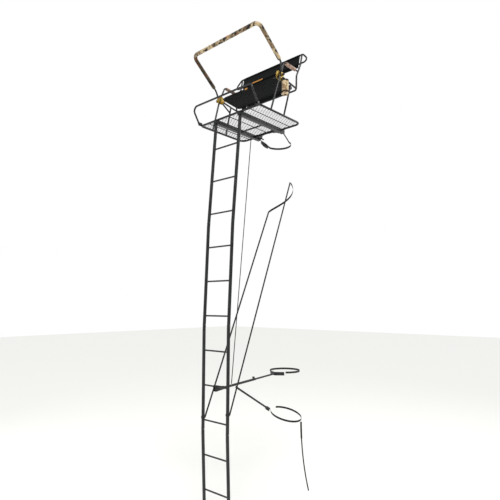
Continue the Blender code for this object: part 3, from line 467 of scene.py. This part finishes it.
def clipped(start, end, low, high, corner):
    """The part of a wire inside the floor's outline, whose two front corners are rounded, or None."""
    inside = []
    steps = 24
    for k in range(steps + 1):
        p = start.lerp(end, k / steps)
        if not (low.x <= p.x <= high.x and low.y <= p.y <= high.y):
            continue
        reach_x = abs(p.x) - (high.x - corner)
        for reach_y in (low.y + corner - p.y, p.y - (high.y - 2.3 * corner)):
            if reach_x > 0 and reach_y > 0 and (reach_x**2 + reach_y**2) ** 0.5 > corner:
                break
        else:
            inside.append(p)
    return (inside[0], inside[-1]) if len(inside) > 1 else None


diamonds = bpy.data.meshes.new("diamond_lines")
points, edges = [], []
columns = int(2 * MESH_HALF / DIAMOND_LONG) + 2
rows = int(MESH_DEPTH / DIAMOND_SHORT) + 2
for column in range(-1, columns):
    for row in range(-1, rows):
        base = Vector(
            (mesh_low.x + column * DIAMOND_LONG, mesh_low.y + row * DIAMOND_SHORT, -0.0027 + PLATFORM_Z)
        )
        for to in (1, -1):
            tip = base + Vector((DIAMOND_LONG / 2, to * DIAMOND_SHORT / 2, 0))
            for a, b in ((base, tip), (tip, tip + Vector((DIAMOND_LONG / 2, -to * DIAMOND_SHORT / 2, 0)))):
                kept = clipped(a, b, mesh_low, mesh_high, MESH_CORNER)
                if kept:
                    edges.append((len(points), len(points) + 1))
                    points += kept
diamonds.from_pydata(points, edges, [])
wires = bpy.data.objects.new("floor_wires", diamonds)
bpy.context.scene.collection.objects.link(wires)


def geometry_tree(name, inputs):
    """An empty Geometry Nodes tree with these named inputs: its group, its input node and its output node."""
    group = bpy.data.node_groups.new(name, "GeometryNodeTree")
    group.interface.new_socket("Geometry", in_out="INPUT", socket_type="NodeSocketGeometry")
    for word, kind in inputs:
        group.interface.new_socket(word, in_out="INPUT", socket_type=kind)
    group.interface.new_socket("Geometry", in_out="OUTPUT", socket_type="NodeSocketGeometry")
    return group, group.nodes.new("NodeGroupInput"), group.nodes.new("NodeGroupOutput")


def grown(obj, group, values, body, name):
    """The object's tree with these input values as a plain mesh that rides on a body."""
    modifier = obj.modifiers.new("tree", "NODES")
    modifier.node_group = group
    for item in group.interface.items_tree:
        if item.in_out == "INPUT" and item.name in values:
            modifier[item.identifier] = values[item.name]
    bpy.context.view_layer.update()
    data = bpy.data.meshes.new_from_object(obj.evaluated_get(bpy.context.evaluated_depsgraph_get()))
    bpy.data.objects.remove(obj, do_unlink=True)
    piece = bpy.data.objects.new(name, data)
    bpy.context.scene.collection.objects.link(piece)
    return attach(piece, body)


wire_tree, given, result = geometry_tree(
    "flat_wires", (
        ("Width", "NodeSocketFloat"), ("Thickness", "NodeSocketFloat"), ("Material", "NodeSocketMaterial")
    )
)
as_curve = add(wire_tree, "GeometryNodeMeshToCurve", Mesh=given.outputs["Geometry"])
profile = add(wire_tree, "GeometryNodeCurvePrimitiveQuadrilateral", Width=given.outputs["Width"])
wire_tree.links.new(given.outputs["Thickness"], profile.inputs["Height"])
skin = add(
    wire_tree,
    "GeometryNodeCurveToMesh",
    Curve=as_curve.outputs["Curve"],
    Profile_Curve=profile.outputs["Curve"],
    Fill_Caps=True,
)
real = add(wire_tree, "GeometryNodeRealizeInstances", Geometry=skin.outputs["Mesh"])
painted = add(
    wire_tree, "GeometryNodeSetMaterial", Geometry=real.outputs["Geometry"], Material=given.outputs["Material"]
)
wire_tree.links.new(painted.outputs["Geometry"], result.inputs["Geometry"])
piece = grown(
    wires,
    wire_tree,
    {"Width": WIRE_WIDTH, "Thickness": WIRE_THICK, "Material": powder_coat},
    "stand",
    "expanded_metal_floor",
)
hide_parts("floor_grid")

work = bmesh.new()
for x in (-0.340, 0.0, 0.340):
    made = bmesh.ops.create_cone(
        work, cap_ends=True, segments=16, radius1=ROD_R, radius2=ROD_R, depth=MESH_DEPTH
    )
    turn = Matrix.Rotation(pi / 2, 4, "X")
    bmesh.ops.transform(work, verts=made["verts"], matrix=Matrix.Translation(at(x, 0.385, -0.0085)) @ turn)
rods = shown("floor_rods", work, "stand", powder_coat)


# Weld beads.
# Each rung is MIG welded into its rails. That leaves a rough ring of weld at both ends, under the coat.
BEAD_RING = 0.0104
BEAD_R = 0.0019
ends = bpy.data.meshes.new("rung_ends")
places = []
for rung in rungs:
    for side in (-1, 1):
        places.append(rung + Vector((side * (RAIL_HALF_SPAN - RAIL_R + 0.0012), 0, 0)))
ends.from_pydata(places, [], [])
beads = bpy.data.objects.new("rung_ends", ends)
bpy.context.scene.collection.objects.link(beads)
bead_tree, given, result = geometry_tree(
    "weld_rings", (
        ("Ring", "NodeSocketFloat"), ("Bead", "NodeSocketFloat"), ("Material", "NodeSocketMaterial")
    )
)
ring = add(bead_tree, "GeometryNodeCurvePrimitiveCircle", Resolution=22, Radius=given.outputs["Ring"])
section = add(bead_tree, "GeometryNodeCurvePrimitiveCircle", Resolution=8, Radius=given.outputs["Bead"])
tube = add(
    bead_tree, "GeometryNodeCurveToMesh", Curve=ring.outputs["Curve"], Profile_Curve=section.outputs["Curve"]
)
upright = add(bead_tree, "GeometryNodeTransform", Geometry=tube.outputs["Mesh"], Rotation=(0, pi / 2, 0))
ripple = add(bead_tree, "ShaderNodeTexNoise", {"noise_dimensions": "3D"}, Scale=420.0)
lift = add(bead_tree, "ShaderNodeMapRange", Value=ripple.outputs["Fac"], To_Min=-0.0004, To_Max=0.0006)
facing = add(bead_tree, "GeometryNodeInputNormal")
push = add(
    bead_tree,
    "ShaderNodeVectorMath",
    {"operation": "SCALE"},
    _0=facing.outputs["Normal"],
    Scale=lift.outputs["Result"],
)
rough = add(
    bead_tree, "GeometryNodeSetPosition", Geometry=upright.outputs["Geometry"], Offset=push.outputs[0]
)
spread = add(
    bead_tree,
    "GeometryNodeInstanceOnPoints",
    Points=given.outputs["Geometry"],
    Instance=rough.outputs["Geometry"],
)
real = add(bead_tree, "GeometryNodeRealizeInstances", Geometry=spread.outputs["Instances"])
painted = add(
    bead_tree, "GeometryNodeSetMaterial", Geometry=real.outputs["Geometry"], Material=given.outputs["Material"]
)
bead_tree.links.new(painted.outputs["Geometry"], result.inputs["Geometry"])
piece = grown(
    beads, bead_tree, {"Ring": BEAD_RING, "Bead": BEAD_R, "Material": powder_coat}, "stand", "rung_welds"
)
piece.data.shade_smooth()


# Seat and back slings.
# Plain-woven black polyester, doubled and sewn, drawn tight between the tubes by sleeves that wrap the front
# and rear tubes. It dips a little in the middle of the seat, and its hems stand proud.
HUB = (0.345, 0.445)
SEAT_PIVOT = (0.655, 0.415)
SEAT_R = 0.010
BACK_R = 0.010
BACK_HEM_DROP = 0.034
SEAT_HEM_DROP = 0.020
HEM_THICK = 0.0024
LOOP_LOW = (0.756, 0.746)
LOOP_HIGH = (0.784, 0.868)
sling_cloth, tree, shader = finish_of("woven_black_polyester", "#050809", 0.85)
where = add(tree, "ShaderNodeTexCoord").outputs["Object"]
# The threads are 0.8 mm apart, and are drawn at 2.5 mm so that they show.
warp = add(tree, "ShaderNodeTexWave", {"bands_direction": "X"}, Vector=where, Scale=62.0)
weft = add(tree, "ShaderNodeTexWave", {"bands_direction": "Y"}, Vector=where, Scale=62.0)
cloth = add(tree, "ShaderNodeMath", {"operation": "MAXIMUM"}, _0=warp.outputs["Fac"], _1=weft.outputs["Fac"])
fade = add(tree, "ShaderNodeTexNoise", Vector=where, Scale=7.0, Detail=4.0)
mixed = add(tree, "ShaderNodeMath", {"operation": "MULTIPLY"}, _0=cloth.outputs[0], _1=fade.outputs["Fac"])
shades = add(tree, "ShaderNodeValToRGB", Fac=mixed.outputs[0])
shades.color_ramp.elements[0].color = linear("#030405")
shades.color_ramp.elements[1].color = linear("#0b0f11")
tree.links.new(shades.outputs["Color"], shader.inputs["Base Color"])
bump = add(tree, "ShaderNodeBump", Strength=0.35, Distance=0.0005, Height=cloth.outputs[0])
tree.links.new(bump.outputs["Normal"], shader.inputs["Normal"])
shader.inputs["Specular IOR Level"].default_value = 0.25


def panel(name, low, high, half_x, dip, body, stands_for, inset):
    """A doubled cloth between two tubes, with a dip in its middle and a raised hem along each edge."""
    deep = high - low
    up = Vector((1, 0, 0)).cross(deep).normalized()
    across, along = 72, 20
    thick = 0.0022
    work = bmesh.new()
    sides = []
    for face in (1, -1):
        rows_ = []
        for j in range(along + 1):
            t = j / along
            row_ = []
            for i in range(across + 1):
                s = -1 + 2 * i / across
                sag = dip * (1 - s**4) * (1 - (2 * t - 1) ** 2)
                pucker = 0.0006 * sin(i * 1.7 + 0.9 * j) * (1 - abs(2 * t - 1)) ** 0.5
                near = min(t, 1 - t) * deep.length
                hem = 0.0008 if near < 0.016 or (1 - abs(s)) * half_x < 0.016 else 0.0
                place = low + deep * (inset + (1 - 2 * inset) * t) + Vector((s * half_x, 0, 0))
                row_.append(work.verts.new(place + up * (face * (thick / 2 + hem) - sag + pucker)))
            rows_.append(row_)
        sides.append(rows_)
        for j in range(along):
            for i in range(across):
                quad = (rows_[j][i], rows_[j][i + 1], rows_[j + 1][i + 1], rows_[j + 1][i])
                work.faces.new(quad if face > 0 else quad[::-1])
    top, under = sides
    rim = [(0, i) for i in range(across)] + [(j, across) for j in range(along)]
    rim += [(along, i) for i in range(across, 0, -1)] + [(j, 0) for j in range(along, 0, -1)]
    for (j0, i0), (j1, i1) in zip(rim, rim[1:] + rim[:1]):
        work.faces.new((top[j0][i0], under[j0][i0], under[j1][i1], top[j1][i1]))
    bmesh.ops.recalc_face_normals(work, faces=work.faces)
    piece = shown(name, work, body, sling_cloth, 60)
    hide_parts(stands_for)
    return piece


def sleeves(name, centre, radius, spans, body):
    """Cloth sleeves wrapped round a straight tube over these spans of X."""
    work = bmesh.new()
    for x0, x1 in spans:
        rings = []
        steps = max(3, int((x1 - x0) / 0.012))
        for k in range(steps + 1):
            x = x0 + (x1 - x0) * k / steps
            for wall in (radius + 0.0008, radius + 0.0022 + 0.0004 * sin(k * 2.1)):
                ring = []
                for n in range(20):
                    a = 2 * pi * n / 20
                    ring.append(
                        work.verts.new(Vector((x, centre.y + wall * cos(a), centre.z + wall * sin(a))))
                    )
                rings.append(ring)
        inner, outer = rings[0::2], rings[1::2]
        for rows_ in (inner, outer):
            for low, high in zip(rows_, rows_[1:]):
                for n in range(20):
                    work.faces.new((low[n], low[(n + 1) % 20], high[(n + 1) % 20], high[n]))
        for a, b in ((inner[0], outer[0]), (inner[-1], outer[-1])):
            for n in range(20):
                work.faces.new((a[n], a[(n + 1) % 20], b[(n + 1) % 20], b[n]))
    bmesh.ops.recalc_face_normals(work, faces=work.faces)
    return shown(name, work, body, sling_cloth)


seat_front, seat_rear = at(0, *HUB), at(0, *SEAT_PIVOT)
seat_panel = panel("seat_sling_cloth", seat_front, seat_rear, 0.4435, 0.010, "seat", "seat_sling", 0.040)
front_sleeve = sleeves("seat_front_sleeve", seat_front, SEAT_R, [(-0.400, 0.400)], "seat")
rear_sleeve = sleeves(
    "seat_rear_sleeve", seat_rear, SEAT_R, [(-0.400, -0.322), (-0.278, 0.278), (0.322, 0.400)], "seat"
)

back_low, back_high = at(0, *LOOP_LOW), at(0, *LOOP_HIGH)
back_panel = panel("back_sling_cloth", back_low, back_high, 0.4760, 0.003, "stand", "back_sling", 0.095)
low_sleeve = sleeves("back_low_sleeve", back_low, BACK_R, [(-0.470, 0.470)], "stand")
high_sleeve = sleeves("back_high_sleeve", back_high, BACK_R, [(-0.470, 0.470)], "stand")


def hem(name, top, drop, thick, body):
    """A flat doubled hem that hangs straight down from a line along its tube, its lower edge folded round."""
    start, end = top
    across = (end - start).normalized().cross(Vector((0, 0, 1))).normalized()
    work = bmesh.new()
    section = [(1, 0.0), (1, 0.93), (0.5, 1.0), (-0.5, 1.0), (-1, 0.93), (-1, 0.0)]
    steps = 24
    rings = []
    for k in range(steps + 1):
        middle = start.lerp(end, k / steps)
        sag = 1 + 0.04 * sin(k * 1.9)
        rings.append(
            [
                work.verts.new(middle + across * (side * thick / 2) - Vector((0, 0, drop * sag * fall)))
                for side, fall in section
            ]
        )
    for low, high in zip(rings, rings[1:]):
        for n in range(len(section)):
            m = (n + 1) % len(section)
            work.faces.new((low[n], low[m], high[m], high[n]))
    work.faces.new(rings[0][::-1])
    work.faces.new(rings[-1])
    bmesh.ops.recalc_face_normals(work, faces=work.faces)
    return shown(name, work, body, sling_cloth, 30)


# The hems close what would be a slot of daylight below the back and behind the seat. The seat's stops short
# of the two clips it turns in.
under_back = [at(x, *LOOP_LOW) - Vector((0, 0, BACK_R)) for x in (-0.470, 0.470)]
back_hem = hem("back_hem", under_back, BACK_HEM_DROP, HEM_THICK, "stand")
for side, (low_x, high_x) in (
    ("left", (-0.400, -0.320)), ("middle", (-0.280, 0.280)), ("right", (0.320, 0.400))
):
    under_seat = [at(x, *SEAT_PIVOT) - Vector((0, 0, SEAT_R)) for x in (low_x, high_x)]
    hem("seat_rear_hem_" + side, under_seat, SEAT_HEM_DROP, HEM_THICK, "seat")

# Two plain sewn patches with nothing printed on them: a strip on the back's lower sleeve, and a small oblong
# in the middle of the seat's front sleeve.
patch_cloth, tree, shader = finish_of("woven_ochre_patch", "#b9772b", 0.8)
where = add(tree, "ShaderNodeTexCoord").outputs["Object"]
thread = add(tree, "ShaderNodeTexWave", {"bands_direction": "X"}, Vector=where, Scale=80.0)
shades = add(tree, "ShaderNodeValToRGB", Fac=thread.outputs["Fac"])
shades.color_ramp.elements[0].color = linear("#93591c")
shades.color_ramp.elements[1].color = linear("#d8a050")
tree.links.new(shades.outputs["Color"], shader.inputs["Base Color"])


def patch(name, centre, wide, tall, body):
    """A thin sewn patch with rounded corners that lies against the back, facing the climber."""
    rise = (back_high - back_low).normalized()
    face = rise.cross(Vector((1, 0, 0))).normalized()
    if face.y > 0:
        face = -face
    work = bmesh.new()
    outline = []
    corner = min(wide, tall) * 0.18
    for quarter, (sx, sy) in enumerate(((1, 1), (-1, 1), (-1, -1), (1, -1))):
        for k in range(5):
            a = pi / 2 * (quarter + k / 4)
            outline.append(
                (sx * (wide / 2 - corner) + corner * cos(a), sy * (tall / 2 - corner) + corner * sin(a))
            )
    rings = []
    for lift, scale in ((0.0, 1.0), (0.0010, 1.0), (0.0014, 0.93)):
        rings.append(
            [work.verts.new(centre + Vector((x * scale, 0, 0)) + rise * (y * scale) + face * lift) for x, y in outline]
        )
    for low, high in zip(rings, rings[1:]):
        for n in range(len(outline)):
            m = (n + 1) % len(outline)
            work.faces.new((low[n], low[m], high[m], high[n]))
    work.faces.new(rings[0][::-1])
    work.faces.new(rings[-1])
    bmesh.ops.recalc_face_normals(work, faces=work.faces)
    return shown(name, work, body, patch_cloth, 30)


patch("seat_patch", at(-0.025, *HUB) + Vector((0, -0.0128, 0)), 0.042, 0.024, "seat")
strip_patch = patch("back_patch", at(-0.198, *LOOP_LOW) + Vector((0, -0.0128, 0)), 0.185, 0.020, "stand")


# Padded covers.
# Closed-cell foam tube slid over the steel, in a printed polyester cover closed by one long seam. The cover
# creases round the bends and swells a little between its ties.
def printed(name, ground, second, dark, accent, share, painted_shade_span=None):
    """A printed leaf-litter pattern: soft blotches 40 to 120 mm across, broken up by finer flecks, on plain cloth.
    Below a given span of X the colour fades to the dark colour, as painted shade.
    """
    made, tree, shader = finish_of(name, ground, 0.88)
    where = add(tree, "ShaderNodeTexCoord").outputs["Object"]
    broad = add(tree, "ShaderNodeTexNoise", Vector=where, Scale=7.0, Detail=3.0, Distortion=1.2)
    fine = add(tree, "ShaderNodeTexNoise", Vector=where, Scale=17.0, Detail=5.0, Distortion=0.8)
    spots = add(tree, "ShaderNodeTexNoise", Vector=where, Scale=5.0, Detail=2.0, Distortion=2.0)
    shades = add(tree, "ShaderNodeValToRGB", Fac=broad.outputs["Fac"])
    shades.color_ramp.elements[0].position, shades.color_ramp.elements[1].position = 0.40, 0.60
    shades.color_ramp.elements[0].color = linear(second)
    shades.color_ramp.elements[1].color = linear(ground)
    flecks = add(tree, "ShaderNodeMapRange", Value=fine.outputs["Fac"], From_Min=0.50, From_Max=0.56)
    first = add(tree, "ShaderNodeMix", {"data_type": "RGBA"}, _0=flecks.outputs["Result"])
    tree.links.new(shades.outputs["Color"], first.inputs[6])
    first.inputs[7].default_value = linear(dark)
    bright = add(
        tree, "ShaderNodeMapRange", Value=spots.outputs["Fac"], From_Min=share, From_Max=share + 0.05
    )
    last = add(tree, "ShaderNodeMix", {"data_type": "RGBA"}, _0=bright.outputs["Result"])
    tree.links.new(first.outputs[2], last.inputs[6])
    last.inputs[7].default_value = linear(accent)
    colour = last.outputs[2]
    # Painted shade: below the given span of X the colour blends into the dark colour, darkening that end of the cover.
    if painted_shade_span:
        place = add(tree, "ShaderNodeSeparateXYZ", Vector=where)
        side = add(
            tree, "ShaderNodeMapRange", Value=place.outputs["X"], From_Min=painted_shade_span[0], From_Max=painted_shade_span[1]
        )
        painted_shade_mix = add(tree, "ShaderNodeMix", {"data_type": "RGBA"}, _0=side.outputs["Result"])
        painted_shade_mix.inputs[6].default_value = linear(dark)
        tree.links.new(colour, painted_shade_mix.inputs[7])
        colour = painted_shade_mix.outputs[2]
    tree.links.new(colour, shader.inputs["Base Color"])
    knit = add(tree, "ShaderNodeTexNoise", Vector=where, Scale=420.0, Detail=2.0)
    bump = add(tree, "ShaderNodeBump", Strength=0.4, Distance=0.0006, Height=knit.outputs["Fac"])
    tree.links.new(bump.outputs["Normal"], shader.inputs["Normal"])
    shader.inputs["Sheen Weight"].default_value = 0.2
    return made


# The rail cover's left arm, below X of -0.44, is painted dark as painted shade, not print.
rail_print = printed("printed_foam_cover", "#d3bb94", "#6b5439", "#15110d", "#c8702c", 0.64, (-0.56, -0.44))
arm_print = printed("printed_arm_cover", "#cdb3a2", "#a68775", "#5d473c", "#c08a68", 0.62)
can_print = printed("printed_can_cover", "#ecdfc2", "#d6bf98", "#9a7d5a", "#dcbb8a", 0.66)


def rounded(corners, radius, steps=7):
    """The points of a path through the corners, each one rounded to the radius, and close together between."""
    bends = []
    for k, corner in enumerate(corners):
        if k in (0, len(corners) - 1):
            bends.append(corner.copy())
            continue
        back, ahead = (corners[k - 1] - corner).normalized(), (corners[k + 1] - corner).normalized()
        turn = pi - back.angle(ahead)
        room = min(radius * sin(turn / 2) / cos(turn / 2), 0.48 * (corners[k - 1] - corner).length)
        arc = room * cos(turn / 2) / sin(turn / 2)
        centre = corner + (back + ahead).normalized() * (arc / cos(turn / 2))
        first = corner + back * room - centre
        axis = first.cross(corner + ahead * room - centre).normalized()
        bends += [centre + Matrix.Rotation(turn * n / steps, 3, axis) @ first for n in range(steps + 1)]
    line = [bends[0]]
    for point in bends[1:]:
        gap = (point - line[-1]).length
        parts = max(1, int(gap / 0.010))
        begin = line[-1].copy()
        line += [begin.lerp(point, n / parts) for n in range(1, parts + 1)]
    return line


def foam_cover(name, corners, radius, bend, body, stands_for, material):
    """A padded sleeve with small creases, a seam ridge and drawn-in ends."""
    line = rounded(corners, bend)
    total = frames(line)[-1][0]

    def section(along):
        end = min(along, total - along)
        drawn = 1.0 - 0.16 * max(0.0, 1 - end / 0.014) ** 2
        points = []
        for k in range(36):
            turn = 2 * pi * k / 36
            crease = 0.012 * sin(along * 95 + 2.2 * sin(2 * turn)) + 0.010 * sin(along * 41 + 3 * turn)
            seam = 0.035 if k in (27, 28) else 0.0
            r = radius * drawn * (1 + crease + seam)
            points.append((r * cos(turn), r * sin(turn)))
        return points

    piece = swept(name, line, section, body, material)
    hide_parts(stands_for)
    return piece


shooting_bend, shooting_top = (0.312, 0.577), (-0.081, 0.883)
corners = []
for side in (-1, 1):
    bend_at = at(side * 0.548, *shooting_bend)
    top_at = at(side * 0.541, *shooting_top)
    arm = [bend_at.lerp(top_at, 0.07), top_at]
    corners += arm if side < 0 else arm[::-1]
foam_cover(
    "rail_cover", corners, 0.0225, 0.070, "shooting_rail", "rail_pad", rail_print
)
for side, word in ((-1, "left"), (1, "right")):
    arm_front, arm_back = at(side * 0.498, 0.428, 0.634), at(side * 0.505, 0.697, 0.622)
    along = (arm_back - arm_front).normalized()
    ends = [arm_front + along * 0.026, arm_back - along * 0.052]
    foam_cover(f"arm_cover_{word}", ends, 0.0205, 0.035, "stand", f"arm_pad_{word}", arm_print)


# Can holder.
# An insulated sleeve: a printed cover over closed-cell foam, sewn to a bottom disc, with black binding at the
# mouth, a dark band near the base and a black web loop that hangs it from the seat's side tube.
CAN_X, CAN_Y, CAN_TOP, CAN_BOTTOM, CAN_R = 0.5575, 0.376, 0.385, 0.212, 0.040
can_bindings = []
for name, colour in (("black_edge_binding", "#161717"), ("brown_cloth_band", "#3a2a1e")):
    binding, tree, shader = finish_of(name, colour, 0.85)
    where = add(tree, "ShaderNodeTexCoord").outputs["Object"]
    thread = add(tree, "ShaderNodeTexNoise", Vector=where, Scale=300.0)
    bump = add(tree, "ShaderNodeBump", Strength=0.3, Distance=0.0005, Height=thread.outputs["Fac"])
    tree.links.new(bump.outputs["Normal"], shader.inputs["Normal"])
    can_bindings.append(binding)
dark_binding, brown_band = can_bindings


def turned(name, profile, material, centre, closed=True, steps=56):
    """A skin turned about the holder's upright axis from (radius, height) pairs, with soft waves in its wall."""
    work = bmesh.new()
    rings = []
    for r, z in profile:
        ring = []
        for k in range(steps):
            a = 2 * pi * k / steps
            wave = 1 + 0.010 * sin(3 * a + z * 40) * (1 if r > 0.02 else 0)
            ring.append(work.verts.new(at(centre[0] + r * wave * cos(a), centre[1] + r * wave * sin(a), z)))
        rings.append(ring)
    pairs = list(zip(rings, rings[1:]))
    if closed:
        pairs.append((rings[-1], rings[0]))
    for low, high in pairs:
        for n in range(steps):
            m = (n + 1) % steps
            work.faces.new((low[n], low[m], high[m], high[n]))
    if not closed:
        work.faces.new(rings[0][::-1])
        work.faces.new(rings[-1])
    bmesh.ops.recalc_face_normals(work, faces=work.faces)
    return shown(name, work, "stand", material, 50)


centre = (CAN_X, CAN_Y)
wall = [
    (CAN_R * 0.40, CAN_BOTTOM),
    (CAN_R * 0.90, CAN_BOTTOM + 0.001),
    (CAN_R * 0.975, CAN_BOTTOM + 0.008),
]
wall += [(CAN_R * 0.985, CAN_BOTTOM + 0.012 + 0.155 * k / 12) for k in range(13)]
wall += [(CAN_R - 0.005, CAN_TOP - 0.002)]
wall += [(CAN_R - 0.0055, CAN_BOTTOM + 0.020), (CAN_R * 0.40, CAN_BOTTOM + 0.014)]
body_piece = turned("can_holder_body", wall, can_print, centre)
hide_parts("cup_holder")
disc = [(0.0165, CAN_BOTTOM + 0.0008), (0.0165, CAN_BOTTOM + 0.0132)]
turned("can_holder_floor", disc, dark_binding, centre, closed=False)
for name, z0, z1, material in (
    ("can_holder_binding", CAN_TOP - 0.016, CAN_TOP - 0.001, dark_binding),
    ("can_holder_band", CAN_BOTTOM + 0.020, CAN_BOTTOM + 0.042, brown_band),
):
    hoop = [(CAN_R * 0.980, z0), (CAN_R + 0.0010, z0), (CAN_R + 0.0010, z1), (CAN_R * 0.980, z1)]
    turned(name, hoop, material, centre)

SEAT_BACK = (0.690, 0.395)
drop = Vector((0, SEAT_BACK[0] - HUB[0], SEAT_BACK[1] - HUB[1])).normalized()
hang = at(0.505, *HUB) + drop * 0.0678
web_x = CAN_X - CAN_R - 0.0004
side_axis = Vector((1, 0, 0))
tube_up = side_axis.cross(drop).normalized()
loop_points = []
for k in range(19):
    a = radians(-60 + 300 * k / 18)
    loop_points.append(hang + side_axis * (0.0128 * cos(a)) + tube_up * (0.0128 * sin(a)))
hanger_foot = Vector((web_x, hang.y, at(0, 0, CAN_TOP - 0.040).z))
loop_points = [hanger_foot, hanger_foot.lerp(loop_points[0], 0.6), *loop_points]
work = bmesh.new()
rings = []
for point, (along, heading) in zip(eased(loop_points, 3), frames(eased(loop_points, 3))):
    normal = heading.cross(drop).normalized()
    rings.append(
        [
            work.verts.new(point + drop * (w * 0.008) + normal * (h * 0.0008))
            for w, h in ((-1, -1), (1, -1), (1, 1), (-1, 1))
        ]
    )
for low, high in zip(rings, rings[1:]):
    for n in range(4):
        work.faces.new((low[n], low[(n + 1) % 4], high[(n + 1) % 4], high[n]))
work.faces.new(rings[0][::-1])
work.faces.new(rings[-1])
bmesh.ops.recalc_face_normals(work, faces=work.faces)
shown("can_holder_hanger", work, "stand", dark_binding)
